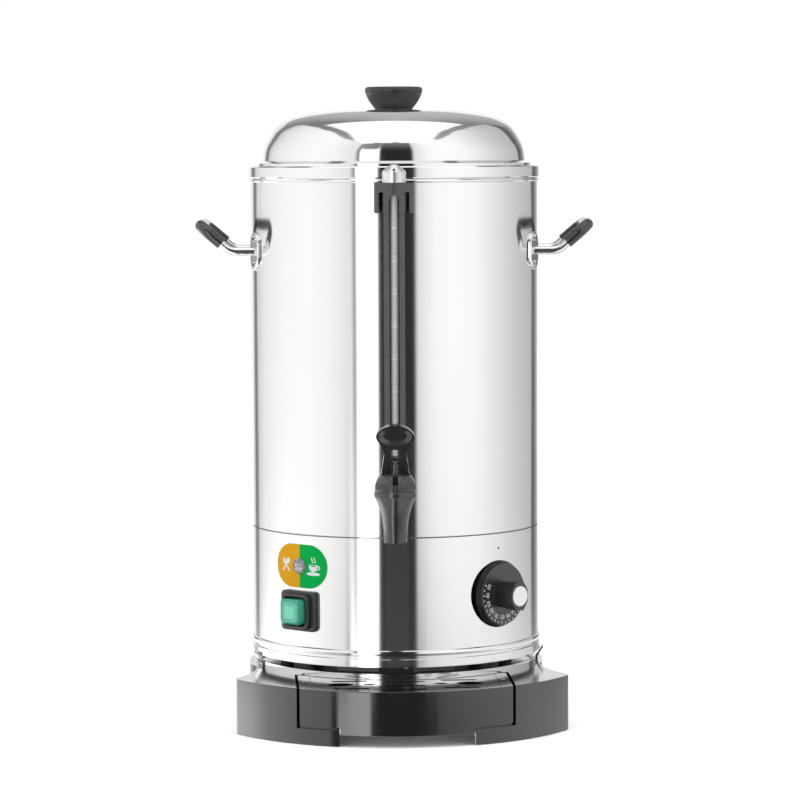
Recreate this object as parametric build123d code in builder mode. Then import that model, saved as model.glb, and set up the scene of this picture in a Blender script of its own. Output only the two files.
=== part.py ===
"""A double-walled catering hot water urn on a base with a drip tray.

Millimetres, +Z up. The origin is on the urn's axis, on the surface that the base stands on.
The front, with the tap, faces -Y. An azimuth is measured from the front towards +X.
"""
from build123d import *
from math import cos, radians, sin, sqrt
import os

os.makedirs("parts", exist_ok=True)

# ---------------------------------------------------------------- driving dimensions
BODY_R = 130.0          # outside radius of the outer and lower shells
SHEET = 1.0             # shell sheet
TANK_R = 119.0          # outside radius of the inner tank
TANK_WALL = 1.0
TANK_BOTTOM = 188.0
TANK_TOP = 497.0
TANK_CORNER = 4.0       # bevel between the tank's wall and its bottom

DECK_Z = 49.0           # top of the base
BASE_FOOT = 2.0         # height of the rubber feet
SKIRT_Z = 0.6           # lower edge of the base's walls
BASE_WALL = 3.0
COLLAR_R = 128.0        # steel ring on the base, outside radius
COLLAR_TOP = 53.8

FLANGE_R = 131.5        # bottom flange and rim collar, outside radius
FLANGE_Z = 60.0         # underside of the urn
SEAM_Z = 174.0          # seam between the lower and the outer shell
SEAM_GAP = 1.2
SHELL_TOP = 495.5
RIM_TOP = 498.3

FRONT_R = 170.0         # front arc of the base and of the tray
FRONT_CENTRE_Y = -26.5
EAR_X = 148.9           # where the front arc meets a flank, before the ear is rounded
EAR_R = 11.0
WAIST = (134.0, -80.0)
REAR_R = 134.0
REAR_START_Y = -40.0
BASE_TURN = 3.0         # degrees that the base stands turned under the urn, which is loose on it

TRAY_HALF = 92.5        # drawer half width
TRAY_LOW_HALF = 58.0    # half width of its deeper middle
TRAY_TOP = 48.7
TRAY_WIDE_Z = 17.0
TRAY_LOW_Z = 10.2
TRAY_REAR_Y = -95.0
TRAY_WALL = 2.5
TRAY_GAP = 2.6          # gap between the drawer and the base around it
GRILLE_HALF = 82.0
GRILLE_T = 2.4
GRILLE_REAR_R = 132.4    # concave rear edge, clear of the urn above it

TAP_Y = -188.0          # vertical axis of the tap
SHANK_Z = 208.0         # horizontal axis of its shank
SHANK_R = 7.0
SPOUT_Z = 177.0
BONNET_Z = 216.0
BONNET_TOP = 235.0
PIN_Z = 243.0           # lever pin
PIN_R = 1.5
LEVER_LEAN = 10.0       # degrees, top towards the user

GAUGE_Y = -142.5        # axis of the sight tube
GAUGE_FRONT_Y = -150.0
GAUGE_HALF = 9.15
GAUGE_LOW = 197.0
GAUGE_TOP = 484.0
TUBE_R = 4.0
TUBE_BORE = 2.8

HANDLE_Z = 422.5
HANDLE_HALF = 40.0      # half the spacing of a handle's legs
HANDLE_ROD_R = 3.8
HANDLE_BEND_X = 146.7
HANDLE_TIP = (173.4, 445.4)
GRIP_R = 5.3
GRIP_LEG = 24.6         # length of grip along each leg

DIAL_AZIMUTH = 44.5
DIAL_Z = 120.0
DIAL_R = 29.75
DIAL_FACE_R = 27.0
DIAL_T = 5.5
DIAL_BACK_R = 130.8     # distance of the dial's back from the urn's axis
SHAFT_R = 3.0

SWITCH_AZIMUTH = -40.6
SWITCH_Z = 106.5
LAMP_AZIMUTH = -40.6
LAMP_Z = 146.2
LAMP_R = 7.0
LABEL_W = 59.0
LABEL_H = 38.6

INLET_Z = 95.0          # power inlet at the rear
FIT = 0.05              # radial clearance of a running fit
CLEAR = 0.3             # clearance between pieces that move apart
HEAD_TAPER = 14         # degrees, side of a pan head

# ---------------------------------------------------------------- helpers


def wall_plane(azimuth, height, radius=BODY_R):
    """Plane that touches the urn's wall: local x runs right, y up and z outward."""
    turn = radians(azimuth)
    outward = (sin(turn), -cos(turn), 0)
    along = (cos(turn), sin(turn), 0)
    return Plane(origin=(radius * outward[0], radius * outward[1], height), x_dir=along, z_dir=outward)


def polar(radius, azimuth):
    """Point in plan at a radius and an azimuth from the front."""
    return (radius * sin(radians(azimuth)), -radius * cos(radians(azimuth)))


def turned(points, mode=Mode.ADD):
    """Revolve a closed outline of (radius, height) points about the urn's axis."""
    with BuildSketch(Plane.XZ) as outline:
        with BuildLine():
            Polyline(*points, close=True)
        make_face()
    revolve(outline.sketch, axis=Axis.Z, mode=mode)


def disc(plane, radius, depth, mode=Mode.ADD):
    """Round bar or hole along a plane's normal."""
    with BuildSketch(plane) as outline:
        Circle(radius)
    extrude(outline.sketch, amount=depth, mode=mode)


def slab(plane, width, height, depth, corner=0.0, mode=Mode.ADD):
    """Plate with rounded corners, centred on a plane and standing out along its normal."""
    with BuildSketch(plane) as outline:
        if corner > 0:
            RectangleRounded(width, height, corner)
        else:
            Rectangle(width, height)
    extrude(outline.sketch, amount=depth, mode=mode)


def block(x0, x1, y0, y1, z0, z1, mode=Mode.ADD, on=Plane.XY):
    """Rectangular block between two corners, in a level plane's frame."""
    with BuildSketch(on.offset(z0)) as outline:
        with Locations(((x0 + x1) / 2, (y0 + y1) / 2)):
            Rectangle(x1 - x0, y1 - y0)
    extrude(outline.sketch, amount=z1 - z0, mode=mode)


def front_edges(plane):
    """Edges round the face that stands furthest out along a plane's normal."""
    outward = Axis(plane.origin, plane.z_dir)
    return faces().filter_by(outward).sort_by(outward)[-1].edges()


def pan_screw(plane, shank_r, length, head_r, head_t):
    """Screw with a tapered pan head; the head's underside lies on the plane."""
    with BuildSketch(plane) as outline:
        Circle(head_r)
    extrude(outline.sketch, amount=head_t, taper=HEAD_TAPER)
    disc(plane, shank_r, -length)


BASE_FRAME = Plane.XY.rotated((0, 0, BASE_TURN))


def base_plane(height):
    """Level plane in the base's own frame."""
    return BASE_FRAME.offset(height)


def base_spot(spot, height, tilt=0):
    """Plane on a point of the base's plan, facing up, or down with a tilt of 180."""
    return Plane(base_plane(height).location * Location((*spot, 0), (tilt, 0, 0)))


def base_outline(inset=0.0):
    """Plan of the base: an arc in front, two ears, waisted flanks and a round rear."""
    front_y = FRONT_CENTRE_Y - FRONT_R + inset
    ear_x = EAR_X - inset
    ear_y = FRONT_CENTRE_Y - sqrt((FRONT_R - inset) ** 2 - ear_x ** 2)
    waist_x = WAIST[0] - inset
    rear_r = REAR_R - inset
    rear_x = sqrt(rear_r ** 2 - REAR_START_Y ** 2)
    ThreePointArc((-ear_x, ear_y), (0, front_y), (ear_x, ear_y))
    ThreePointArc((ear_x, ear_y), (waist_x, WAIST[1]), (rear_x, REAR_START_Y))
    ThreePointArc((rear_x, REAR_START_Y), (0, rear_r), (-rear_x, REAR_START_Y))
    ThreePointArc((-rear_x, REAR_START_Y), (-waist_x, WAIST[1]), (-ear_x, ear_y))


def base_block(bottom, top, inset=0.0, mode=Mode.ADD):
    """The base's plan with rounded ears, drawn in by an inset, between two heights."""
    with BuildSketch(base_plane(bottom)) as outline:
        with BuildLine():
            base_outline(inset)
        make_face()
        fillet(outline.vertices().group_by(Axis.Y)[0], EAR_R - inset)
    extrude(outline.sketch, amount=top - bottom, mode=mode)


def tray_outline(half, inset, rear_y):
    """Plan of a drawer-shaped piece: straight sides and rear, front on the base's arc."""
    radius = FRONT_R - inset
    side_y = FRONT_CENTRE_Y - sqrt(radius ** 2 - half ** 2)
    ThreePointArc((-half, side_y), (0, FRONT_CENTRE_Y - radius), (half, side_y))
    Line((half, side_y), (half, rear_y))
    Line((half, rear_y), (-half, rear_y))
    Line((-half, rear_y), (-half, side_y))


def tray_block(half, inset, rear_y, bottom, top, mode=Mode.ADD):
    """Drawer-shaped block between two heights."""
    with BuildSketch(base_plane(bottom)) as outline:
        with BuildLine():
            tray_outline(half, inset, rear_y)
        make_face()
    extrude(outline.sketch, amount=top - bottom, mode=mode)


# ---------------------------------------------------------------- base

SHELF_TOP = TRAY_WIDE_Z - 0.4           # shelves that carry the drawer
SHELF_T = 3.0
LIP_Z = 14.2            # top of the front wall below the drawer
OPENING_HALF = TRAY_HALF + TRAY_GAP
OPENING_REAR_Y = TRAY_REAR_Y + TRAY_GAP
CHEEK_HALF = OPENING_HALF + BASE_WALL
NOTCH_HALF = TRAY_LOW_HALF + 0.6
NOTCH_REAR_Y = -150.0
FLOOR_T = 2.0
BOSS_R = 5.0
BASE_SCREW_R = 1.6
BASE_SCREW_LENGTH = 14.0
BASE_SCREW_SPOTS = [polar(118, azimuth) for azimuth in (80, 150, -150, -80)]
BASE_FOOT_SPOTS = [(-112, -118), (112, -118), (-78, 86), (78, 86)]

with BuildPart() as base_shell:
    base_block(SKIRT_Z, DECK_Z)
    base_block(SKIRT_Z, DECK_Z - BASE_WALL, inset=BASE_WALL, mode=Mode.SUBTRACT)
    # opening for the drawer through the deck and the front, and the notch under its middle
    opening = (-OPENING_HALF, OPENING_HALF, -210, OPENING_REAR_Y, SHELF_TOP, DECK_Z + 1)
    block(*opening, mode=Mode.SUBTRACT, on=BASE_FRAME)
    notch = (-NOTCH_HALF, NOTCH_HALF, -210, NOTCH_REAR_Y, 0, SHELF_TOP + 1)
    block(*notch, mode=Mode.SUBTRACT, on=BASE_FRAME)
    # shelves that the drawer slides on, cheeks beside it and a wall behind it
    wall_y = OPENING_REAR_Y + BASE_WALL
    for side in (-1, 1):
        x_in, x_out = sorted((side * NOTCH_HALF, side * CHEEK_HALF))
        with BuildSketch(base_plane(SHELF_TOP - SHELF_T)):
            with BuildLine():
                tray_outline(CHEEK_HALF, 0, wall_y)
            make_face()
            with Locations(((x_in + x_out) / 2, NOTCH_REAR_Y)):
                Rectangle(x_out - x_in, 160, mode=Mode.INTERSECT)
        extrude(amount=SHELF_T)
        x_in, x_out = sorted((side * OPENING_HALF, side * CHEEK_HALF))
        block(x_in, x_out, -160, wall_y, SHELF_TOP - SHELF_T, DECK_Z - 1, on=BASE_FRAME)
    rear_wall = (-OPENING_HALF, OPENING_HALF, OPENING_REAR_Y, wall_y, SHELF_TOP - SHELF_T, DECK_Z - 1)
    block(*rear_wall, on=BASE_FRAME)
    # the front wall stops short of the drawer, which leaves a gap to grip it by
    with BuildSketch(base_plane(LIP_Z)):
        with BuildLine():
            tray_outline(OPENING_HALF, -1, -130)
        make_face()
        with BuildLine():
            tray_outline(OPENING_HALF + 1, BASE_WALL, -120)
        make_face(mode=Mode.SUBTRACT)
    extrude(amount=SHELF_TOP - LIP_Z + 0.1, mode=Mode.SUBTRACT)
    # bosses for the screws that hold the floor
    with BuildSketch(base_plane(BASE_FOOT + FLOOR_T)):
        with Locations(*BASE_SCREW_SPOTS):
            Circle(BOSS_R)
    extrude(until=Until.NEXT)
    with BuildSketch(base_plane(BASE_FOOT)):
        with Locations(*BASE_SCREW_SPOTS):
            Circle(BASE_SCREW_R)
    extrude(amount=BASE_SCREW_LENGTH + 1, mode=Mode.SUBTRACT)
base_shell.part.label = "base_shell"
export_step(base_shell.part, "parts/base_shell.step")

with BuildPart() as base_floor:
    base_block(BASE_FOOT, BASE_FOOT + FLOOR_T, inset=BASE_WALL + 0.1)
    recess = (-NOTCH_HALF - 2, NOTCH_HALF + 2, -210, -100, 0, BASE_FOOT + FLOOR_T + 1)
    block(*recess, mode=Mode.SUBTRACT, on=BASE_FRAME)
    with BuildSketch(base_plane(BASE_FOOT)):
        with Locations(*BASE_SCREW_SPOTS):
            Circle(BASE_SCREW_R)
    extrude(amount=FLOOR_T, mode=Mode.SUBTRACT)
base_floor.part.label = "base_floor"
export_step(base_floor.part, "parts/base_floor.step")

with BuildPart() as base_feet:
    with BuildSketch(BASE_FRAME):
        with Locations(*BASE_FOOT_SPOTS):
            Circle(9)
        Circle(16)
    extrude(amount=BASE_FOOT)
    chamfer(edges().group_by(Axis.Z)[0], 0.6)
base_feet.part.label = "base_feet"
export_step(base_feet.part, "parts/base_feet.step")

with BuildPart() as base_screws:
    for spot in BASE_SCREW_SPOTS:
        pan_screw(base_spot(spot, BASE_FOOT, tilt=180), BASE_SCREW_R, BASE_SCREW_LENGTH, 3.4, 1.3)
base_screws.part.label = "base_screws"
export_step(base_screws.part, "parts/base_screws.step")

COLLAR_T = 1.2
COLLAR_INNER_R = 124.5

with BuildPart() as base_collar:
    turned([
        (COLLAR_R, DECK_Z),
        (COLLAR_R, COLLAR_TOP),
        (COLLAR_R - COLLAR_T, COLLAR_TOP),
        (COLLAR_R - COLLAR_T, DECK_Z + COLLAR_T),
        (COLLAR_INNER_R, DECK_Z + COLLAR_T),
        (COLLAR_INNER_R, DECK_Z),
    ])
base_collar.part.label = "base_collar"
export_step(base_collar.part, "parts/base_collar.step")

LUG_AZIMUTHS = (85, -74)
LUG_W = 10.0
LUG_R = 134.2           # radius and height of a lug's tip
LUG_TOP = 61.6
LUG_T = 1.5

with BuildPart() as locating_lugs:
    turned([
        (COLLAR_R, DECK_Z),
        (COLLAR_R + LUG_T, DECK_Z),
        (COLLAR_R + LUG_T, 51.9),
        (LUG_R + 0.6, LUG_TOP - 1.0),
        (LUG_R - 0.5, LUG_TOP),
        (COLLAR_R, 53.2),
    ])
    with BuildSketch(base_plane(DECK_Z - 1)) as spans:
        for azimuth in LUG_AZIMUTHS:
            with Locations(Location((*polar(LUG_R, azimuth), 0), (0, 0, azimuth))):
                Rectangle(LUG_W, 30)
    extrude(spans.sketch, amount=LUG_TOP - DECK_Z + 2, mode=Mode.INTERSECT)
locating_lugs.part.label = "locating_lugs"
export_step(locating_lugs.part, "parts/locating_lugs.step")

# ---------------------------------------------------------------- drip tray

GRILLE_SEAT = TRAY_TOP - GRILLE_T - 0.1
GRILLE_GAP = 0.35
BASIN_HALF = GRILLE_HALF - 1.6
TRAY_SCREW_SPOTS = [(-87.2, -130), (87.2, -130)]
TRAY_SCREW_R = 1.25
TRAY_SCREW_LENGTH = 8.0

with BuildPart() as drip_tray:
    tray_block(TRAY_HALF, 0, TRAY_REAR_Y, TRAY_WIDE_Z, TRAY_TOP)
    tray_block(TRAY_LOW_HALF, 0, TRAY_REAR_Y, TRAY_LOW_Z, TRAY_WIDE_Z)
    basin_rear_y = TRAY_REAR_Y - TRAY_WALL
    low_half = TRAY_LOW_HALF - TRAY_WALL
    wide_z = TRAY_WIDE_Z + TRAY_WALL
    low_z = TRAY_LOW_Z + TRAY_WALL
    tray_block(BASIN_HALF, TRAY_WALL + 1.4, basin_rear_y, wide_z, GRILLE_SEAT, mode=Mode.SUBTRACT)
    tray_block(low_half, TRAY_WALL, basin_rear_y, low_z, wide_z, mode=Mode.SUBTRACT)
    # pocket that the grille drops into, bounded behind by the urn's circle
    with BuildSketch(base_plane(GRILLE_SEAT)):
        with BuildLine():
            tray_outline(GRILLE_HALF + GRILLE_GAP, TRAY_WALL - GRILLE_GAP, TRAY_REAR_Y)
        make_face()
        Circle(GRILLE_REAR_R - GRILLE_GAP, mode=Mode.SUBTRACT)
    extrude(amount=GRILLE_T + 1, mode=Mode.SUBTRACT)
    with BuildSketch(base_plane(TRAY_TOP)):
        with Locations(*TRAY_SCREW_SPOTS):
            Circle(TRAY_SCREW_R)
    extrude(amount=-TRAY_SCREW_LENGTH, mode=Mode.SUBTRACT)
    rearward = Axis(BASE_FRAME.origin, BASE_FRAME.y_dir)
    fillet(edges().filter_by(GeomType.CIRCLE).group_by(rearward)[0], 0.5)
drip_tray.part.label = "drip_tray"
export_step(drip_tray.part, "parts/drip_tray.step")

with BuildPart() as tray_screws:
    for spot in TRAY_SCREW_SPOTS:
        disc(base_spot(spot, TRAY_TOP), TRAY_SCREW_R, -TRAY_SCREW_LENGTH)
        disc(base_spot(spot, TRAY_TOP), 1.9, 0.25)
tray_screws.part.label = "tray_screws"
export_step(tray_screws.part, "parts/tray_screws.step")

SLOT_W = 6.0
SIDE_SLOT_X = 48.0
SIDE_SLOT_LENGTH = 34.0
MIDDLE_SLOT_LENGTH = 36.0
LENS_HOLES = [(56.5, 24.0, 17.0), (31.0, 12.5, 7.5)]    # centre x, width, depth
LENS_Y = -149.5


def lens(centre_x, centre_y, width, depth):
    """Drain hole with two pointed ends, bounded by two arcs."""
    left = (centre_x - width / 2, centre_y)
    right = (centre_x + width / 2, centre_y)
    with BuildSketch() as hole:
        with BuildLine():
            ThreePointArc(left, (centre_x, centre_y + depth / 2), right)
            ThreePointArc(right, (centre_x, centre_y - depth / 2), left)
        make_face()
    return hole.sketch


with BuildPart() as drip_grille:
    with BuildSketch(base_plane(GRILLE_SEAT + 0.05)):
        with BuildLine():
            tray_outline(GRILLE_HALF, TRAY_WALL, TRAY_REAR_Y)
        make_face()
        Circle(GRILLE_REAR_R, mode=Mode.SUBTRACT)
        for side in (-1, 1):
            with Locations((side * SIDE_SLOT_X, -131.6), (side * SIDE_SLOT_X, -173)):
                SlotOverall(SIDE_SLOT_LENGTH - 2, SLOT_W, mode=Mode.SUBTRACT)
            for centre_x, width, depth in LENS_HOLES:
                add(lens(side * centre_x, LENS_Y, width, depth), mode=Mode.SUBTRACT)
        with Locations((0, -139), (0, -159), (0, -180)):
            SlotOverall(MIDDLE_SLOT_LENGTH, SLOT_W, mode=Mode.SUBTRACT)
    extrude(amount=GRILLE_T)
drip_grille.part.label = "drip_grille"
export_step(drip_grille.part, "parts/drip_grille.step")

# ---------------------------------------------------------------- shells and tank

SLEEVE_LOW = 166.0
SLEEVE_HIGH = 180.0
SEAM_LOW = SEAM_Z - SEAM_GAP / 2
SEAM_HIGH = SEAM_Z + SEAM_GAP / 2
INSIDE_R = BODY_R - SHEET
PLATE_W = 24.0          # handle escutcheon
PLATE_H = 34.0
PLATE_T = 2.4
HANDLE_SCREW_R = 2.0
HANDLE_SCREW_OFFSET = 11.5
HANDLE_AZIMUTH = 72.08  # where a leg at HANDLE_HALF in front of the axis meets the wall
HANDLE_AZIMUTHS = [HANDLE_AZIMUTH, 180 - HANDLE_AZIMUTH, HANDLE_AZIMUTH - 180, -HANDLE_AZIMUTH]
HANDLE_SCREW_PLANES = [
    wall_plane(azimuth, HANDLE_Z + offset)
    for azimuth in HANDLE_AZIMUTHS
    for offset in (-HANDLE_SCREW_OFFSET, HANDLE_SCREW_OFFSET)
]

with BuildPart() as outer_shell:
    turned([
        (BODY_R, SEAM_HIGH),
        (BODY_R, SHELL_TOP),
        (INSIDE_R, SHELL_TOP),
        (INSIDE_R, SLEEVE_HIGH),
        (INSIDE_R - SHEET, SLEEVE_HIGH),
        (INSIDE_R - SHEET, SLEEVE_LOW),
        (INSIDE_R, SLEEVE_LOW),
        (INSIDE_R, SEAM_HIGH),
    ])
    disc(wall_plane(0, SHANK_Z, 120), SHANK_R + 0.6, 20, mode=Mode.SUBTRACT)
    for plane in HANDLE_SCREW_PLANES:
        disc(plane.offset(-8), HANDLE_SCREW_R, 16, mode=Mode.SUBTRACT)
outer_shell.part.label = "outer_shell"
export_step(outer_shell.part, "parts/outer_shell.step")

RIM_LIP_R = 117.4

with BuildPart() as rim_collar:
    turned([
        (BODY_R, 484.1),
        (BODY_R + 0.8, 484.3),
        (FLANGE_R, 485.0),
        (FLANGE_R, 486.1),
        (BODY_R + 0.9, 486.9),
        (BODY_R + 0.3, 487.4),
        (BODY_R + 0.9, 487.9),
        (FLANGE_R, 488.7),
        (FLANGE_R, 497.3),
        (FLANGE_R - 1.0, RIM_TOP),
        (RIM_LIP_R, RIM_TOP),
        (RIM_LIP_R, TANK_TOP),
        (BODY_R, TANK_TOP),
    ])
rim_collar.part.label = "rim_collar"
export_step(rim_collar.part, "parts/rim_collar.step")

TANK_INSIDE_R = TANK_R - TANK_WALL

TANK_FLOOR_R = TANK_R - TANK_CORNER - 0.4

with BuildPart() as inner_tank:
    turned([
        (TANK_FLOOR_R, TANK_BOTTOM),
        (TANK_R - TANK_CORNER, TANK_BOTTOM),
        (TANK_R, TANK_BOTTOM + TANK_CORNER),
        (TANK_R, TANK_TOP - TANK_WALL),
        (INSIDE_R - 1.0, TANK_TOP - TANK_WALL),
        (INSIDE_R - 1.0, TANK_TOP),
        (TANK_INSIDE_R, TANK_TOP),
        (TANK_INSIDE_R, TANK_BOTTOM + TANK_CORNER + 0.4),
        (TANK_FLOOR_R, TANK_BOTTOM + TANK_WALL),
    ])
    disc(wall_plane(0, SHANK_Z, 105), SHANK_R + 0.3, 20, mode=Mode.SUBTRACT)
inner_tank.part.label = "inner_tank"
export_step(inner_tank.part, "parts/inner_tank.step")

with BuildPart() as tank_floor:
    disc(Plane.XY.offset(TANK_BOTTOM), TANK_FLOOR_R, TANK_WALL)
tank_floor.part.label = "tank_floor"
export_step(tank_floor.part, "parts/tank_floor.step")

SWITCH_BODY_W = 24.0
SWITCH_BODY_H = 26.0
INLET_BODY_W = 27.0
INLET_BODY_H = 20.0
LOWER_SHELL_Z = FLANGE_Z + 0.5
DIAL_BUSH_R = 5.0
LAMP_STEM_R = 5.0

with BuildPart() as lower_shell:
    disc(Plane.XY.offset(LOWER_SHELL_Z), BODY_R, SEAM_LOW - LOWER_SHELL_Z)
    disc(Plane.XY.offset(LOWER_SHELL_Z), INSIDE_R, SEAM_LOW - LOWER_SHELL_Z, mode=Mode.SUBTRACT)
    disc(wall_plane(DIAL_AZIMUTH, DIAL_Z, 118), DIAL_BUSH_R, 20, mode=Mode.SUBTRACT)
    disc(wall_plane(LAMP_AZIMUTH, LAMP_Z, 118), LAMP_STEM_R, 20, mode=Mode.SUBTRACT)
    switch_hole = wall_plane(SWITCH_AZIMUTH, SWITCH_Z, 118)
    slab(switch_hole, SWITCH_BODY_W + 4, SWITCH_BODY_H + 5, 20, mode=Mode.SUBTRACT)
    slab(wall_plane(180, INLET_Z, 118), INLET_BODY_W, INLET_BODY_H, 20, mode=Mode.SUBTRACT)
lower_shell.part.label = "lower_shell"
export_step(lower_shell.part, "parts/lower_shell.step")

with BuildPart() as bottom_flange:
    turned([
        (BODY_R - 3, FLANGE_Z),
        (FLANGE_R, FLANGE_Z),
        (FLANGE_R, 66.8),
        (BODY_R + 0.7, 67.5),
        (BODY_R + 0.7, 69.3),
        (BODY_R + 1.3, 70.0),
        (FLANGE_R, 72.0),
        (BODY_R + 1.2, 74.0),
        (BODY_R, 74.7),
        (BODY_R, LOWER_SHELL_Z),
        (BODY_R - 3, LOWER_SHELL_Z),
    ])
bottom_flange.part.label = "bottom_flange"
export_step(bottom_flange.part, "parts/bottom_flange.step")

BOTTOM_T = 1.5
TIE_SPOTS = [polar(108, azimuth) for azimuth in (5, 125, -115)]
TIE_R = 2.0
URN_FOOT_SPOTS = [polar(115, azimuth) for azimuth in (58, 140, -140, -58)]
URN_FOOT_R = 6.0
SKIRT_AZIMUTHS = (-16, 16)

with BuildPart() as bottom_plate:
    disc(Plane.XY.offset(LOWER_SHELL_Z), INSIDE_R - 0.1, BOTTOM_T)
    with BuildSketch(Plane.XY.offset(LOWER_SHELL_Z)):
        with PolarLocations(70, 12):
            SlotOverall(34, 5)
        with Locations(*TIE_SPOTS):
            Circle(TIE_R)
    extrude(amount=BOTTOM_T, mode=Mode.SUBTRACT)
    # folded tabs that close the front of the gap under the urn
    for azimuth in SKIRT_AZIMUTHS:
        slab(wall_plane(azimuth, LOWER_SHELL_Z - 2.8, 120.5), 38, 5.6, 1.0)
bottom_plate.part.label = "bottom_plate"
export_step(bottom_plate.part, "parts/bottom_plate.step")

with BuildPart() as urn_feet:
    with BuildSketch(Plane.XY.offset(DECK_Z + CLEAR)):
        with Locations(*URN_FOOT_SPOTS):
            Circle(URN_FOOT_R)
    extrude(amount=LOWER_SHELL_Z - DECK_Z - CLEAR)
    chamfer(edges().group_by(Axis.Z)[0], 1.0)
urn_feet.part.label = "urn_feet"
export_step(urn_feet.part, "parts/urn_feet.step")

TIE_LOW = 55.6

with BuildPart() as tie_rods:
    with BuildSketch(Plane.XY.offset(TIE_LOW)):
        with Locations(*TIE_SPOTS):
            Circle(TIE_R)
    extrude(amount=TANK_BOTTOM - TIE_LOW)
tie_rods.part.label = "tie_rods"
export_step(tie_rods.part, "parts/tie_rods.step")

with BuildPart() as tie_nuts:
    with BuildSketch(Plane.XY.offset(LOWER_SHELL_Z - 3.2)):
        with Locations(*TIE_SPOTS):
            RegularPolygon(4.0, 6)
            Circle(TIE_R, mode=Mode.SUBTRACT)
    extrude(amount=3.2)
tie_nuts.part.label = "tie_nuts"
export_step(tie_nuts.part, "parts/tie_nuts.step")

# ---------------------------------------------------------------- heating parts under the tank

ELEMENT_R = 80.0
ELEMENT_TUBE_R = 4.2
ELEMENT_PLATE_T = 4.0
ELEMENT_Z = TANK_BOTTOM - ELEMENT_PLATE_T - ELEMENT_TUBE_R
CLAMP_Z = ELEMENT_Z - ELEMENT_TUBE_R
CLAMP_T = 4.0
STUD_R = 4.0

with BuildPart() as element_plate:
    disc(Plane.XY.offset(TANK_BOTTOM - ELEMENT_PLATE_T), 100, ELEMENT_PLATE_T)
element_plate.part.label = "element_plate"
export_step(element_plate.part, "parts/element_plate.step")

with BuildPart() as heating_element:
    with Locations((0, 0, ELEMENT_Z)):
        Torus(ELEMENT_R, ELEMENT_TUBE_R)
    with BuildSketch(Plane.XY.offset(ELEMENT_Z)):
        with Locations((-14, ELEMENT_R - 1.2), (14, ELEMENT_R - 1.2)):
            Circle(2.2)
    extrude(amount=-20)
heating_element.part.label = "heating_element"
export_step(heating_element.part, "parts/heating_element.step")

with BuildPart() as clamp_bar:
    block(-92, 92, -9, 9, CLAMP_Z - CLAMP_T, CLAMP_Z)
    disc(Plane.XY.offset(CLAMP_Z), STUD_R + 0.3, -CLAMP_T, mode=Mode.SUBTRACT)
    fillet(edges().filter_by(Axis.Z), 4)
clamp_bar.part.label = "clamp_bar"
export_step(clamp_bar.part, "parts/clamp_bar.step")

with BuildPart() as clamp_hardware:
    disc(Plane.XY.offset(CLAMP_Z - CLAMP_T - 10), STUD_R, CLAMP_T + 10 + 2 * ELEMENT_TUBE_R)
    with BuildSketch(Plane.XY.offset(CLAMP_Z - CLAMP_T)):
        RegularPolygon(7.5, 6)
        Circle(STUD_R, mode=Mode.SUBTRACT)
    extrude(amount=-6)
clamp_hardware.part.label = "clamp_hardware"
export_step(clamp_hardware.part, "parts/clamp_hardware.step")

CUTOUT_SPOT = (-45, 32)

with BuildPart() as thermal_cutout:
    disc(Plane(origin=(*CUTOUT_SPOT, TANK_BOTTOM - ELEMENT_PLATE_T)), 8.5, -9)
    for offset in (-4.5, 4.5):
        x = CUTOUT_SPOT[0] + offset
        block(x - 0.4, x + 0.4, CUTOUT_SPOT[1] - 3, CUTOUT_SPOT[1] + 3, TANK_BOTTOM - 24, TANK_BOTTOM - 12)
thermal_cutout.part.label = "thermal_cutout"
export_step(thermal_cutout.part, "parts/thermal_cutout.step")

with BuildPart() as terminal_block:
    bottom = LOWER_SHELL_Z + BOTTOM_T
    block(12, 52, 55, 73, bottom, bottom + 16)
    for x in (19, 32, 45):
        disc(Plane(origin=(x, 64, bottom + 16)), 3.2, -8, mode=Mode.SUBTRACT)
        wire_plane = Plane(origin=(x, 54, bottom + 7), x_dir=(1, 0, 0), z_dir=(0, 1, 0))
        disc(wire_plane, 2.0, 22, mode=Mode.SUBTRACT)
terminal_block.part.label = "terminal_block"
export_step(terminal_block.part, "parts/terminal_block.step")

# ---------------------------------------------------------------- handles

TIP_X, TIP_Z = HANDLE_TIP
HANDLE_ROOT_X = sqrt(BODY_R ** 2 - HANDLE_HALF ** 2)
HANDLE_BEND_R = 15.0
HANDLE_CORNER_R = 12.0
leg_length = sqrt((TIP_X - HANDLE_BEND_X) ** 2 + (TIP_Z - HANDLE_Z) ** 2)
GRIP_START = 1 - GRIP_LEG / leg_length
GRIP_X = HANDLE_BEND_X + GRIP_START * (TIP_X - HANDLE_BEND_X)
GRIP_Z = HANDLE_Z + GRIP_START * (TIP_Z - HANDLE_Z)

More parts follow.
